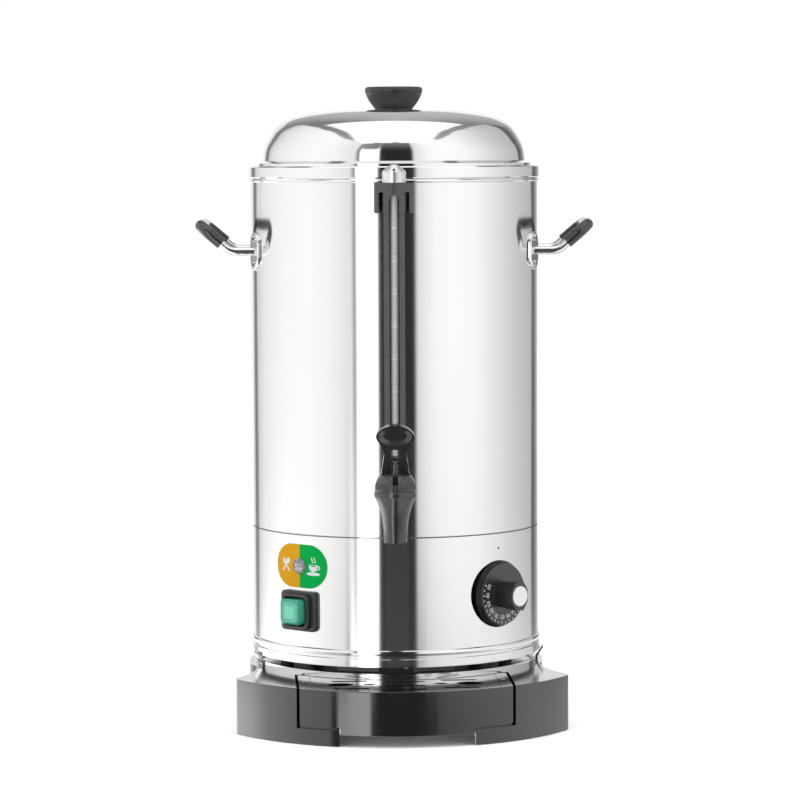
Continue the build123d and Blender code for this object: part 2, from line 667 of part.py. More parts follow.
for name, side in (("left", -1), ("right", 1)):
    inward = (-side, 0, 0)
    with BuildPart() as rod:
        with BuildLine() as rod_path:
            FilletPolyline(
                (side * (HANDLE_ROOT_X - 1.5), -HANDLE_HALF, HANDLE_Z),
                (side * HANDLE_BEND_X, -HANDLE_HALF, HANDLE_Z),
                (side * TIP_X, -HANDLE_HALF, TIP_Z),
                (side * TIP_X, HANDLE_HALF, TIP_Z),
                (side * HANDLE_BEND_X, HANDLE_HALF, HANDLE_Z),
                (side * (HANDLE_ROOT_X - 1.5), HANDLE_HALF, HANDLE_Z),
                radius=[HANDLE_BEND_R, HANDLE_CORNER_R, HANDLE_CORNER_R, HANDLE_BEND_R],
            )
        with BuildSketch(Plane(origin=rod_path.line @ 0, z_dir=rod_path.line % 0)):
            Circle(HANDLE_ROD_R)
        sweep()
        disc(Plane.XY.offset(HANDLE_Z - 20), BODY_R, 40, mode=Mode.SUBTRACT)
    rod.part.label = f"{name}_handle_rod"
    export_step(rod.part, f"parts/{name}_handle_rod.step")

    with BuildPart() as grip:
        with BuildLine() as grip_path:
            FilletPolyline(
                (side * GRIP_X, -HANDLE_HALF, GRIP_Z),
                (side * TIP_X, -HANDLE_HALF, TIP_Z),
                (side * TIP_X, HANDLE_HALF, TIP_Z),
                (side * GRIP_X, HANDLE_HALF, GRIP_Z),
                radius=HANDLE_CORNER_R,
            )
        with BuildSketch(Plane(origin=grip_path.line @ 0, z_dir=grip_path.line % 0)):
            Circle(GRIP_R)
            Circle(HANDLE_ROD_R, mode=Mode.SUBTRACT)
        sweep()
    grip.part.label = f"{name}_handle_grip"
    export_step(grip.part, f"parts/{name}_handle_grip.step")

with BuildPart() as handle_plates:
    for azimuth in HANDLE_AZIMUTHS:
        with BuildSketch(wall_plane(azimuth, HANDLE_Z, BODY_R - 1)) as oval:
            SlotOverall(PLATE_H, PLATE_W, rotation=90)
        extrude(oval.sketch, amount=PLATE_T + 1)
        fillet(front_edges(wall_plane(azimuth, HANDLE_Z)), 1.2)
    disc(Plane.XY.offset(HANDLE_Z - 30), BODY_R, 60, mode=Mode.SUBTRACT)
    # each leg passes through its plate along X
    for y in (-HANDLE_HALF, HANDLE_HALF):
        leg_plane = Plane(origin=(-160, y, HANDLE_Z), x_dir=(0, 1, 0), z_dir=(1, 0, 0))
        disc(leg_plane, HANDLE_ROD_R, 320, mode=Mode.SUBTRACT)
    for plane in HANDLE_SCREW_PLANES:
        disc(plane.offset(-2), HANDLE_SCREW_R, 8, mode=Mode.SUBTRACT)
handle_plates.part.label = "handle_plates"
export_step(handle_plates.part, "parts/handle_plates.step")

with BuildPart() as handle_screws:
    for plane in HANDLE_SCREW_PLANES:
        pan_screw(plane.offset(PLATE_T), HANDLE_SCREW_R, PLATE_T + 4, 3.3, 1.5)
handle_screws.part.label = "handle_screws"
export_step(handle_screws.part, "parts/handle_screws.step")

# ---------------------------------------------------------------- level gauge

HEAD_HALF = 17.5
HEAD_LOW = 458.0
HEAD_T = 1.0
HEAD_FRONT_Y = GAUGE_FRONT_Y - 1.2
WING_SLOT = (9.4, 13.3)         # from and to, either side of the middle
WING_SLOT_TOP = 476.0
WINDOW_HALF = 4.3
WINDOW_LOW = 228.0
WINDOW_TOP = 473.4
FITTING_TOP = 226.0
FITTING_HALF = GAUGE_HALF - SHEET - 0.05
TUBE_LOW = FITTING_TOP - 9.5
TUBE_TOP = GAUGE_TOP + 4.0
SEAL_R = 5.2
SEAL_T = 4.0
front_plane = Plane(origin=(0, 0, 0), x_dir=(1, 0, 0), z_dir=(0, -1, 0))
tube_axis = (0, GAUGE_Y)


def window(low, high, half, near_y, far_y):
    """Cut an upright slot with a rounded top through what lies between two depths."""
    with BuildSketch(front_plane.offset(-near_y)) as opening:
        with Locations((0, (low + high - half) / 2)):
            Rectangle(2 * half, high - half - low)
        with Locations((0, high - half)):
            Circle(half)
    extrude(opening.sketch, amount=near_y - far_y, mode=Mode.SUBTRACT)


with BuildPart() as gauge_channel:
    block(-GAUGE_HALF, GAUGE_HALF, GAUGE_FRONT_Y, -125, GAUGE_LOW, GAUGE_TOP - HEAD_T - 0.5)
    inner = GAUGE_HALF - SHEET
    block(-inner, inner, GAUGE_FRONT_Y + SHEET, -120, GAUGE_LOW - 1, GAUGE_TOP + 1, mode=Mode.SUBTRACT)
    disc(Plane.XY.offset(GAUGE_LOW - 1), BODY_R, GAUGE_TOP - GAUGE_LOW + 2, mode=Mode.SUBTRACT)
    window(WINDOW_LOW, WINDOW_TOP, WINDOW_HALF, GAUGE_FRONT_Y + 2, GAUGE_FRONT_Y - 2)
    disc(wall_plane(0, SHANK_Z, 140), SHANK_R + 0.3, 15, mode=Mode.SUBTRACT)
gauge_channel.part.label = "gauge_channel"
export_step(gauge_channel.part, "parts/gauge_channel.step")

with BuildPart() as gauge_head:
    block(-HEAD_HALF, HEAD_HALF, HEAD_FRONT_Y, -125, HEAD_LOW, GAUGE_TOP)
    fillet(edges().filter_by(Axis.Z).group_by(Axis.Y)[0], 1.5)
    inner = HEAD_HALF - HEAD_T
    block(-inner, inner, HEAD_FRONT_Y + HEAD_T, -120, HEAD_LOW - 1, GAUGE_TOP - HEAD_T, mode=Mode.SUBTRACT)
    disc(Plane.XY.offset(HEAD_LOW - 1), BODY_R, GAUGE_TOP - HEAD_LOW + 2, mode=Mode.SUBTRACT)
    window(HEAD_LOW - 5, WINDOW_TOP, WINDOW_HALF, HEAD_FRONT_Y + 2, HEAD_FRONT_Y - 2)
    window(HEAD_LOW, GAUGE_TOP - 1.5, 1.5, HEAD_FRONT_Y + 2, HEAD_FRONT_Y - 2)
    for side in (-1, 1):
        x_in, x_out = sorted((side * WING_SLOT[0], side * WING_SLOT[1]))
        slot_y = (HEAD_FRONT_Y - 1, HEAD_FRONT_Y + 3)
        block(x_in, x_out, *slot_y, HEAD_LOW - 1, WING_SLOT_TOP, mode=Mode.SUBTRACT)
    disc(Plane(origin=(*tube_axis, GAUGE_TOP)), TUBE_R + 0.4, -2 * HEAD_T, mode=Mode.SUBTRACT)
gauge_head.part.label = "gauge_head"
export_step(gauge_head.part, "parts/gauge_head.step")

with BuildPart() as gauge_tube:
    disc(Plane(origin=(*tube_axis, TUBE_LOW)), TUBE_R, TUBE_TOP - TUBE_LOW)
    disc(Plane(origin=(*tube_axis, TUBE_LOW)), TUBE_BORE, TUBE_TOP - TUBE_LOW, mode=Mode.SUBTRACT)
gauge_tube.part.label = "gauge_tube"
export_step(gauge_tube.part, "parts/gauge_tube.step")

with BuildPart() as gauge_seals:
    for seal_z, outer_r in ((FITTING_TOP - SEAL_T, SEAL_R), (GAUGE_TOP - HEAD_T - SEAL_T, SEAL_R + 1.2)):
        disc(Plane(origin=(*tube_axis, seal_z)), outer_r, SEAL_T)
    disc(Plane(origin=(*tube_axis, TUBE_LOW)), TUBE_R, TUBE_TOP - TUBE_LOW, mode=Mode.SUBTRACT)
gauge_seals.part.label = "gauge_seals"
export_step(gauge_seals.part, "parts/gauge_seals.step")

with BuildPart() as gauge_fitting:
    block(-FITTING_HALF, FITTING_HALF, GAUGE_FRONT_Y + SHEET, -125, GAUGE_LOW, FITTING_TOP)
    disc(Plane.XY.offset(GAUGE_LOW - 1), BODY_R, 40, mode=Mode.SUBTRACT)
    disc(Plane(origin=(*tube_axis, TUBE_LOW)), TUBE_R, 20, mode=Mode.SUBTRACT)
    disc(Plane(origin=(*tube_axis, SHANK_Z)), 2, 20, mode=Mode.SUBTRACT)
    disc(Plane(origin=(*tube_axis, FITTING_TOP - SEAL_T)), SEAL_R, 20, mode=Mode.SUBTRACT)
    disc(wall_plane(0, SHANK_Z, 120), SHANK_R + FIT, 40, mode=Mode.SUBTRACT)
gauge_fitting.part.label = "gauge_fitting"
export_step(gauge_fitting.part, "parts/gauge_fitting.step")

CAP_R = 10.4
CAP_SHOULDER = 493.5
CAP_TOP = 499.8
CAP_TIP_R = 3.4
VENT_R = 1.2
VENT_Z = CAP_SHOULDER + 1.6
cap_base = GAUGE_TOP + CLEAR

with BuildPart() as gauge_cap:
    with BuildSketch(Plane(origin=(*tube_axis, 0), x_dir=(1, 0, 0), z_dir=(0, -1, 0))):
        with BuildLine():
            Polyline(
                (0, cap_base),
                (CAP_R, cap_base),
                (CAP_R, CAP_SHOULDER),
                (CAP_R - 1, CAP_SHOULDER + 1.2),
                (CAP_TIP_R, CAP_TOP),
                (0, CAP_TOP),
                close=True,
            )
        make_face()
    revolve(axis=Axis((*tube_axis, 0), (0, 0, 1)))
    # socket for the tube, and the vent that runs up and out to the front
    cap_plane = Plane(origin=(*tube_axis, cap_base))
    vent_plane = Plane(origin=(0, GAUGE_Y, VENT_Z), x_dir=(1, 0, 0), z_dir=(0, -1, 0))
    disc(cap_plane, TUBE_R + 0.1, TUBE_TOP - cap_base + CLEAR, mode=Mode.SUBTRACT)
    disc(cap_plane, VENT_R, VENT_Z - cap_base, mode=Mode.SUBTRACT)
    disc(vent_plane, VENT_R, 14, mode=Mode.SUBTRACT)
gauge_cap.part.label = "gauge_cap"
export_step(gauge_cap.part, "parts/gauge_cap.step")

# ---------------------------------------------------------------- tap

BONNET_R = 18.4
NECK_R = 14.5
CHAMBER_R = 10.0
SEAT_Z = 202.5
SEAT_R = 6.5
SHANK_BORE_R = 4.5
SHANK_COLLAR_R = 10.0
SHANK_COLLAR_Y = (-169.2, -151.6)
SHANK_END_Y = -107.0
STEM_R = 3.0
tap_axis = Axis((0, TAP_Y, 0), (0, 0, 1))
tap_plane = Plane(origin=(0, TAP_Y, 0), x_dir=(1, 0, 0), z_dir=(0, -1, 0))


def turned_on_tap(points, mode=Mode.ADD):
    """Revolve a closed outline of (radius, height) points about the tap's axis."""
    with BuildSketch(tap_plane) as outline:
        with BuildLine():
            Polyline(*points, close=True)
        make_face()
    revolve(outline.sketch, axis=tap_axis, mode=mode)


with BuildPart() as tap_body:
    with BuildSketch(tap_plane):
        with BuildLine():
            spout_edge = (9.9, SPOUT_Z)
            shoulder = (17.8, BONNET_Z)
            Spline(spout_edge, (11.1, 195.5), (13.6, 206.3), shoulder)
            Polyline(shoulder, (NECK_R, BONNET_Z), (NECK_R, 224), (0, 224), (0, SPOUT_Z), spout_edge)
        make_face()
    revolve(axis=tap_axis)
    disc(Plane(origin=(0, SHANK_END_Y, SHANK_Z), x_dir=(1, 0, 0), z_dir=(0, -1, 0)), SHANK_R, 68)
    disc(
        Plane(origin=(0, SHANK_COLLAR_Y[1], SHANK_Z), x_dir=(1, 0, 0), z_dir=(0, -1, 0)),
        SHANK_COLLAR_R,
        SHANK_COLLAR_Y[1] - SHANK_COLLAR_Y[0],
    )
    turned_on_tap(
        [(0, 225), (CHAMBER_R, 225), (CHAMBER_R, SEAT_Z), (SEAT_R, SEAT_Z), (7.6, 176), (0, 176)],
        mode=Mode.SUBTRACT,
    )
    bore_plane = Plane(origin=(0, SHANK_END_Y + 1, SHANK_Z), x_dir=(1, 0, 0), z_dir=(0, -1, 0))
    disc(bore_plane, SHANK_BORE_R, TAP_Y * -1 + SHANK_END_Y, mode=Mode.SUBTRACT)
    disc(Plane(origin=(*tube_axis, SHANK_Z)), 2, 10, mode=Mode.SUBTRACT)
tap_body.part.label = "tap_body"
export_step(tap_body.part, "parts/tap_body.step")

BONNET_LINE_Z = 221.2
FLUTES = 40

with BuildPart() as tap_bonnet:
    with BuildSketch(tap_plane):
        with BuildLine():
            dome_foot = (BONNET_R - 1.0, BONNET_LINE_Z + 0.3)
            Polyline(
                (13.2, BONNET_TOP),
                (STEM_R + 0.1, BONNET_TOP),
                (STEM_R + 0.1, 224.2),
                (NECK_R + FIT, 224.2),
                (NECK_R + FIT, BONNET_Z + 0.1),
                (17.9, BONNET_Z + 0.1),
                (BONNET_R, BONNET_Z + 0.8),
                (BONNET_R, BONNET_LINE_Z - 0.4),
                (BONNET_R - 0.5, BONNET_LINE_Z + 0.2),
                dome_foot,
            )
            ThreePointArc(dome_foot, (16.7, 229.6), (13.2, BONNET_TOP))
        make_face()
    revolve(axis=tap_axis)
    # moulded flutes round the dome, and the notch that the lever tips into
    with BuildSketch(Plane(origin=(0, TAP_Y, BONNET_LINE_Z + 0.6))):
        with PolarLocations(BONNET_R - 0.5, FLUTES):
            Circle(0.8)
    extrude(amount=BONNET_TOP - BONNET_LINE_Z, taper=-4, mode=Mode.SUBTRACT)
    block(-2.3, 2.3, -215, TAP_Y - 9, 227.5, BONNET_TOP + 1, mode=Mode.SUBTRACT)
tap_bonnet.part.label = "tap_bonnet"
export_step(tap_bonnet.part, "parts/tap_bonnet.step")

with BuildPart() as tap_seals:
    disc(wall_plane(0, SHANK_Z, -SHANK_COLLAR_Y[1] - 1.4), SHANK_COLLAR_R, 1.3)
    disc(wall_plane(0, SHANK_Z, 115.5), 12, 4)
    with BuildSketch(Plane.XY.offset(SHANK_Z - 15)) as tank_wall:
        Circle(140)
        Circle(TANK_INSIDE_R, mode=Mode.SUBTRACT)
        with Locations((0, -160)):
            Rectangle(60, 30, mode=Mode.SUBTRACT)
    extrude(tank_wall.sketch, amount=30, mode=Mode.SUBTRACT)
    disc(wall_plane(0, SHANK_Z, 100), SHANK_R + FIT, 60, mode=Mode.SUBTRACT)
tap_seals.part.label = "tap_seals"
export_step(tap_seals.part, "parts/tap_seals.step")

with BuildPart() as tap_nut:
    with BuildSketch(wall_plane(0, SHANK_Z, 115.4)):
        RegularPolygon(12, 6)
        Circle(SHANK_R + FIT, mode=Mode.SUBTRACT)
    extrude(amount=-6.5)
tap_nut.part.label = "tap_nut"
export_step(tap_nut.part, "parts/tap_nut.step")

CUP_R = 9.0
CUP_Z = SEAT_Z + CLEAR
CUP_T = 5.0

with BuildPart() as seat_cup:
    turned_on_tap([
        (0, CUP_Z),
        (CUP_R - 1, CUP_Z),
        (CUP_R, CUP_Z + 1),
        (CUP_R, CUP_Z + CUP_T),
        (0, CUP_Z + CUP_T),
    ])
seat_cup.part.label = "seat_cup"
export_step(seat_cup.part, "parts/seat_cup.step")

with BuildPart() as tap_stem:
    disc(Plane(origin=(0, TAP_Y, CUP_Z + CUP_T)), 6.5, 2)
    disc(Plane(origin=(0, TAP_Y, CUP_Z + CUP_T)), STEM_R, PIN_Z + 3.2 - CUP_Z - CUP_T)
    eye_plane = Plane(origin=(-10, TAP_Y, PIN_Z), x_dir=(0, 1, 0), z_dir=(1, 0, 0))
    disc(eye_plane, PIN_R + FIT, 20, mode=Mode.SUBTRACT)
tap_stem.part.label = "tap_stem"
export_step(tap_stem.part, "parts/tap_stem.step")

LEVER_T = 7.0
LEVER_FOOT = -7.0
LEVER_TIP = 36.0
LEVER_SIDE = [(12.3, LEVER_FOOT), (10.6, 3.5), (9.6, 13.0), (12.2, 19.0), (16.4, 25.8)]
LEVER_CROWN = (9.5, 34.0)
lean = radians(LEVER_LEAN)
lever_plane = Plane(origin=(0, TAP_Y, PIN_Z), x_dir=(1, 0, 0), z_dir=(0, -cos(lean), -sin(lean)))

with BuildPart() as tap_lever:
    with BuildSketch(lever_plane.offset(-LEVER_T / 2)):
        with BuildLine():
            Spline(*LEVER_SIDE, LEVER_CROWN, (0, LEVER_TIP), tangents=[(-0.25, 1), (-1, 0)])
            Line((0, LEVER_FOOT), (LEVER_SIDE[0][0], LEVER_FOOT))
            mirror(about=Plane.YZ)
        make_face()
    extrude(amount=LEVER_T)
    # dished thumb face
    for depth, half_width, half_height in ((0, 14.4, 7.9), (-2.2, 10.0, 4.4)):
        with BuildSketch(lever_plane.offset(LEVER_T / 2 + depth)):
            with Locations((0, 26.4)):
                Ellipse(half_width, half_height)
    loft(mode=Mode.SUBTRACT)
    # window, slot for the stem and the relieved front of the two legs
    with BuildSketch(lever_plane.offset(-6)):
        with Locations((0, 11.4)):
            RectangleRounded(7.2, 7.0, 1.2)
        with Locations((0, -2.5)):
            Rectangle(2 * (STEM_R + CLEAR), 14)
    extrude(amount=12, mode=Mode.SUBTRACT)
    with BuildSketch(lever_plane.offset(LEVER_T / 2)):
        with Locations((0, -2.5)):
            Rectangle(14.5, 9.5)
    extrude(amount=-1.8, mode=Mode.SUBTRACT)
    disc(Plane(origin=(-20, TAP_Y, PIN_Z), x_dir=(0, 1, 0), z_dir=(1, 0, 0)), PIN_R, 40, mode=Mode.SUBTRACT)
tap_lever.part.label = "tap_lever"
export_step(tap_lever.part, "parts/tap_lever.step")

PIN_HALF = 10.2

with BuildPart() as lever_pin:
    disc(Plane(origin=(-PIN_HALF, TAP_Y, PIN_Z), x_dir=(0, 1, 0), z_dir=(1, 0, 0)), PIN_R, 2 * PIN_HALF)
lever_pin.part.label = "lever_pin"
export_step(lever_pin.part, "parts/lever_pin.step")

# ---------------------------------------------------------------- switch, lamp and label

BEZEL_W = 40.0
BEZEL_H = 35.4
BEZEL_T = 3.6
FRAME_W = 31.0
FRAME_H = 31.0
FRAME_T = 8.0
BUTTON_W = 24.0
BUTTON_H = 22.6
BUTTON_T = 14.5
switch_plane = wall_plane(SWITCH_AZIMUTH, SWITCH_Z)

with BuildPart() as switch_bezel:
    slab(switch_plane.offset(-2.5), BEZEL_W, BEZEL_H, BEZEL_T + 2.5, corner=4)
    fillet(front_edges(switch_plane), 1.2)
    slab(switch_plane, FRAME_W, FRAME_H, FRAME_T, corner=5)
    fillet(front_edges(switch_plane), 1.0)
    button_hole = switch_plane.offset(-5)
    slab(button_hole, BUTTON_W + 1.2, BUTTON_H + 3.6, FRAME_T + 10, corner=3.5, mode=Mode.SUBTRACT)
    disc(Plane.XY.offset(SWITCH_Z - 30), BODY_R, 60, mode=Mode.SUBTRACT)
switch_bezel.part.label = "switch_bezel"
export_step(switch_bezel.part, "parts/switch_bezel.step")

with BuildPart() as switch_body:
    slab(switch_plane.offset(-6), SWITCH_BODY_W - 0.2, SWITCH_BODY_H, -22, corner=1.5)
    for offset in (-7, 0, 7):
        tab = Plane(switch_plane.location * Location((0, offset, -28)))
        slab(tab, 4.8, 0.8, -8)
switch_body.part.label = "switch_body"
export_step(switch_body.part, "parts/switch_body.step")

with BuildPart() as switch_button:
    slab(switch_plane.offset(-4), BUTTON_W, BUTTON_H, BUTTON_T + 4, corner=4.5)
    chamfer(front_edges(switch_plane), 1.6)
switch_button.part.label = "switch_button"
export_step(switch_button.part, "parts/switch_button.step")

lamp_plane = wall_plane(LAMP_AZIMUTH, LAMP_Z)
LABEL_T = 0.4

with BuildPart() as lamp_lens:
    disc(lamp_plane.offset(0.6), LAMP_R, 1.7)
    fillet(front_edges(lamp_plane), 1.3)
lamp_lens.part.label = "lamp_lens"
export_step(lamp_lens.part, "parts/lamp_lens.step")

with BuildPart() as lamp_body:
    disc(lamp_plane.offset(0.6), LAMP_STEM_R - FIT, -24)
    with BuildSketch(lamp_plane.offset(-2.2)):
        RegularPolygon(8.5, 6)
        Circle(LAMP_STEM_R - FIT, mode=Mode.SUBTRACT)
    extrude(amount=-4)
lamp_body.part.label = "lamp_body"
export_step(lamp_body.part, "parts/lamp_body.step")

with BuildPart() as status_label:
    with BuildSketch(lamp_plane.offset(-20)) as label_shape:
        SlotOverall(LABEL_W, LABEL_H)
        Circle(LAMP_R - 1.2, mode=Mode.SUBTRACT)
    extrude(label_shape.sketch, amount=40)
    disc(Plane.XY.offset(LAMP_Z - 40), BODY_R + LABEL_T, 80, mode=Mode.INTERSECT)
    disc(Plane.XY.offset(LAMP_Z - 41), BODY_R, 82, mode=Mode.SUBTRACT)
status_label.part.label = "status_label"
export_step(status_label.part, "parts/status_label.step")

# ---------------------------------------------------------------- thermostat

dial_plane = wall_plane(DIAL_AZIMUTH, DIAL_Z, DIAL_BACK_R)
GRIP_H = 25.5
GRIP_W = 19.6
GRIP_FACET_H = 10.6
GRIP_FACET_W = 9.4
GRIP_OUT = 19.6
GRIP_ROOT = 0.86        # size of the grip at the dial against its size at the end
WHITE_CAP_R = 8.9
STAT_W = 36.0
STAT_T = 28.0
STAT_FRONT = 4.4        # front of the thermostat's case, inward from the dial's back


def grip_outline(scale):
    """Long octagon of the dial's grip."""
    half_w, half_h = GRIP_W / 2 * scale, GRIP_H / 2 * scale
    facet_w, facet_h = GRIP_FACET_W / 2 * scale, GRIP_FACET_H / 2 * scale
    corners = [(half_w, facet_h), (facet_w, half_h), (-facet_w, half_h), (-half_w, facet_h)]
    Polygon(*corners, *[(-x, -y) for x, y in corners], align=None)


with BuildPart() as thermostat_knob:
    for height, radius in ((0, DIAL_R), (DIAL_T, DIAL_FACE_R)):
        with BuildSketch(dial_plane.offset(height)):
            Circle(radius)
    loft()
    fillet(front_edges(dial_plane), 0.6)
    for height, scale in ((DIAL_T, GRIP_ROOT), (DIAL_T + GRIP_OUT, 1.0)):
        with BuildSketch(dial_plane.offset(height)):
            grip_outline(scale)
    loft()
    disc(dial_plane.offset(DIAL_T + GRIP_OUT - 1.6), WHITE_CAP_R + 0.05, 2, mode=Mode.SUBTRACT)
    disc(dial_plane, SHAFT_R, 18, mode=Mode.SUBTRACT)
thermostat_knob.part.label = "thermostat_knob"
export_step(thermostat_knob.part, "parts/thermostat_knob.step")

with BuildPart() as knob_cap:
    disc(dial_plane.offset(DIAL_T + GRIP_OUT - 1.6), WHITE_CAP_R, 2.6)
    fillet(front_edges(dial_plane), 0.7)
knob_cap.part.label = "knob_cap"
export_step(knob_cap.part, "parts/knob_cap.step")

with BuildPart() as thermostat_shaft:
    disc(dial_plane.offset(-24), SHAFT_R, 42)
thermostat_shaft.part.label = "thermostat_shaft"
export_step(thermostat_shaft.part, "parts/thermostat_shaft.step")

with BuildPart() as thermostat_body:
    slab(dial_plane.offset(-STAT_FRONT), STAT_W, STAT_W, -STAT_T, corner=2)
    disc(dial_plane.offset(-STAT_FRONT), DIAL_BUSH_R - FIT, STAT_FRONT - 0.5)
    disc(dial_plane.offset(-24.5), SHAFT_R + FIT, 30, mode=Mode.SUBTRACT)
thermostat_body.part.label = "thermostat_body"
export_step(thermostat_body.part, "parts/thermostat_body.step")

BULB_R = 3.0
BULB_X = 40.0
BULB_Z = TANK_BOTTOM - ELEMENT_PLATE_T - BULB_R
CAPILLARY_R = 1.0
stat_back = dial_plane.offset(-STAT_FRONT - STAT_T).origin

with BuildPart() as thermostat_bulb:
    with BuildLine() as capillary:
        FilletPolyline(
            (stat_back.X, stat_back.Y, DIAL_Z),
            (stat_back.X - 14, stat_back.Y + 14, DIAL_Z),
            (BULB_X + 4, -40, 160),
            (BULB_X, -30, BULB_Z),
            (BULB_X, -14, BULB_Z),
            radius=6,
        )
    with BuildSketch(Plane(origin=capillary.line @ 0, z_dir=capillary.line % 0)):
        Circle(CAPILLARY_R)
    sweep()
    disc(Plane(origin=(BULB_X, -14, BULB_Z), x_dir=(1, 0, 0), z_dir=(0, 1, 0)), BULB_R, 56)
thermostat_bulb.part.label = "thermostat_bulb"
export_step(thermostat_bulb.part, "parts/thermostat_bulb.step")

# ---------------------------------------------------------------- power inlet at the rear

inlet_plane = wall_plane(180, INLET_Z)
INLET_DEPTH = 24.0
INLET_RECESS = 16.0

with BuildPart() as power_inlet:
    slab(inlet_plane.offset(-3), 48, 26, 5.4, corner=4)
    disc(Plane.XY.offset(INLET_Z - 30), BODY_R, 60, mode=Mode.SUBTRACT)
    slab(inlet_plane.offset(1), INLET_BODY_W - 0.2, INLET_BODY_H - 0.2, -INLET_DEPTH)
    mouth = inlet_plane.offset(3)
    slab(mouth, INLET_BODY_W - 4, INLET_BODY_H - 4, -INLET_RECESS - 3, corner=3, mode=Mode.SUBTRACT)
    for x, y in ((-7, -2), (0, 2.2), (7, -2)):
        pin_plane = Plane(inlet_plane.location * Location((x, y, -INLET_RECESS - 0.5)))
        slab(pin_plane, 2.0, 4.0, 14)
power_inlet.part.label = "power_inlet"
export_step(power_inlet.part, "parts/power_inlet.step")

# ---------------------------------------------------------------- lid

LID_SHEET = 1.0
LID_CROWN_Z = 548.4
LID_FLAT_R = 51.0
LID_FLANGE_R = 123.8
LID_FLANGE_Z = RIM_TOP + CLEAR
# radius, height and lean of the outward normal from vertical in degrees, down the dome
LID_CURVE = [
    (LID_FLAT_R, LID_CROWN_Z, 0),
    (85.5, 544.2, 15),
    (105.0, 535.0, 41),
    (114.2, 521.5, 68),
    (118.4, 507.0, 84),
]


def dome_points(inset):
    """Points down the dome, set in along their normals."""
    return [(r - inset * sin(radians(a)), z - inset * cos(radians(a))) for r, z, a in LID_CURVE]


with BuildPart() as lid_dome:
    with BuildSketch(Plane.XZ):
        with BuildLine():
            outside = dome_points(0)
            inside = dome_points(LID_SHEET)
            edge_z = LID_FLANGE_Z + 1.6
            Line((0, LID_CROWN_Z), outside[0])
            Spline(*outside, tangents=[(1, 0), (0.1, -1)])
            Polyline(
                outside[-1],
                (118.9, 503.0),
                (LID_FLANGE_R - 1, edge_z + LID_SHEET),
                (LID_FLANGE_R, edge_z + LID_SHEET / 2),
                (LID_FLANGE_R, LID_FLANGE_Z),
                (LID_FLANGE_R - LID_SHEET, LID_FLANGE_Z),
                (LID_FLANGE_R - LID_SHEET, edge_z),
                (117.7, 502.2),
                inside[-1],
            )
            Spline(*reversed(inside), tangents=[(-0.1, 1), (-1, 0)])
            Polyline(inside[0], (0, LID_CROWN_Z - LID_SHEET), (0, LID_CROWN_Z))
        make_face()
    revolve(axis=Axis.Z)
    disc(Plane.XY.offset(LID_CROWN_Z - 3), 2.2, 6, mode=Mode.SUBTRACT)
lid_dome.part.label = "lid_dome"
export_step(lid_dome.part, "parts/lid_dome.step")

LID_RING_R = TANK_INSIDE_R - 2.0

with BuildPart() as lid_ring:
    turned([
        (LID_RING_R, 488.0),
        (LID_RING_R, LID_FLANGE_Z),
        (LID_FLANGE_R - LID_SHEET, LID_FLANGE_Z),
        (LID_FLANGE_R - LID_SHEET, LID_FLANGE_Z + LID_SHEET),
        (LID_RING_R - LID_SHEET, LID_FLANGE_Z + LID_SHEET),
        (LID_RING_R - LID_SHEET, 488.0),
    ])
lid_ring.part.label = "lid_ring"
export_step(lid_ring.part, "parts/lid_ring.step")

KNOB_TOP = 569.5
KNOB_R = 26.0
KNOB_FOOT_R = 16.9
KNOB_SCREW_R = 2.2
# radius and depth below the top, down the knob's bowl
KNOB_BOWL = [(25.0, 7.2), (23.4, 10.65), (21.3, 14.1), (18.7, 17.5), (KNOB_FOOT_R, 19.8)]
KNOB_CREASE = 4.6       # depth of the fine groove round the rim

with BuildPart() as lid_knob:
    with BuildSketch(Plane.XZ):
        with BuildLine():
            bowl = [(radius, KNOB_TOP - depth) for radius, depth in KNOB_BOWL]
            crease_z = KNOB_TOP - KNOB_CREASE
            Polyline((0, KNOB_TOP), (0, LID_CROWN_Z), (KNOB_FOOT_R, LID_CROWN_Z), bowl[-1])
            Spline(bowl[-1], *bowl[-2::-1], (KNOB_R - 0.3, crease_z - 0.3))
            Polyline(
                (KNOB_R - 0.3, crease_z - 0.3),
                (KNOB_R - 0.5, crease_z),
                (KNOB_R - 0.1, crease_z + 0.3),
                (KNOB_R, KNOB_TOP - 2.6),
            )
            ThreePointArc((KNOB_R, KNOB_TOP - 2.6), (KNOB_R - 0.8, KNOB_TOP - 0.8), (KNOB_R - 2.6, KNOB_TOP))
            Line((KNOB_R - 2.6, KNOB_TOP), (0, KNOB_TOP))
        make_face()
    revolve(axis=Axis.Z)
    disc(Plane.XY.offset(LID_CROWN_Z), KNOB_SCREW_R, 15, mode=Mode.SUBTRACT)
lid_knob.part.label = "lid_knob"
export_step(lid_knob.part, "parts/lid_knob.step")

with BuildPart() as lid_knob_screw:
    screw_plane = Plane(origin=(0, 0, LID_CROWN_Z - LID_SHEET), x_dir=(1, 0, 0), z_dir=(0, 0, -1))
    pan_screw(screw_plane, KNOB_SCREW_R, 14.5, 4.5, 2.4)
lid_knob_screw.part.label = "lid_knob_screw"
export_step(lid_knob_screw.part, "parts/lid_knob_screw.step")
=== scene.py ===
"""Dresses the hot water urn: camera, studio, finishes and the fine printed and moulded pieces.

Metres, +Z up, in the CAD's own frame: the origin is on the urn's axis, on the surface it stands on.
The front, with the tap, faces -Y. An azimuth is measured from the front towards +X.
"""
import math

import bmesh
import bpy
from mathutils import Matrix, Vector


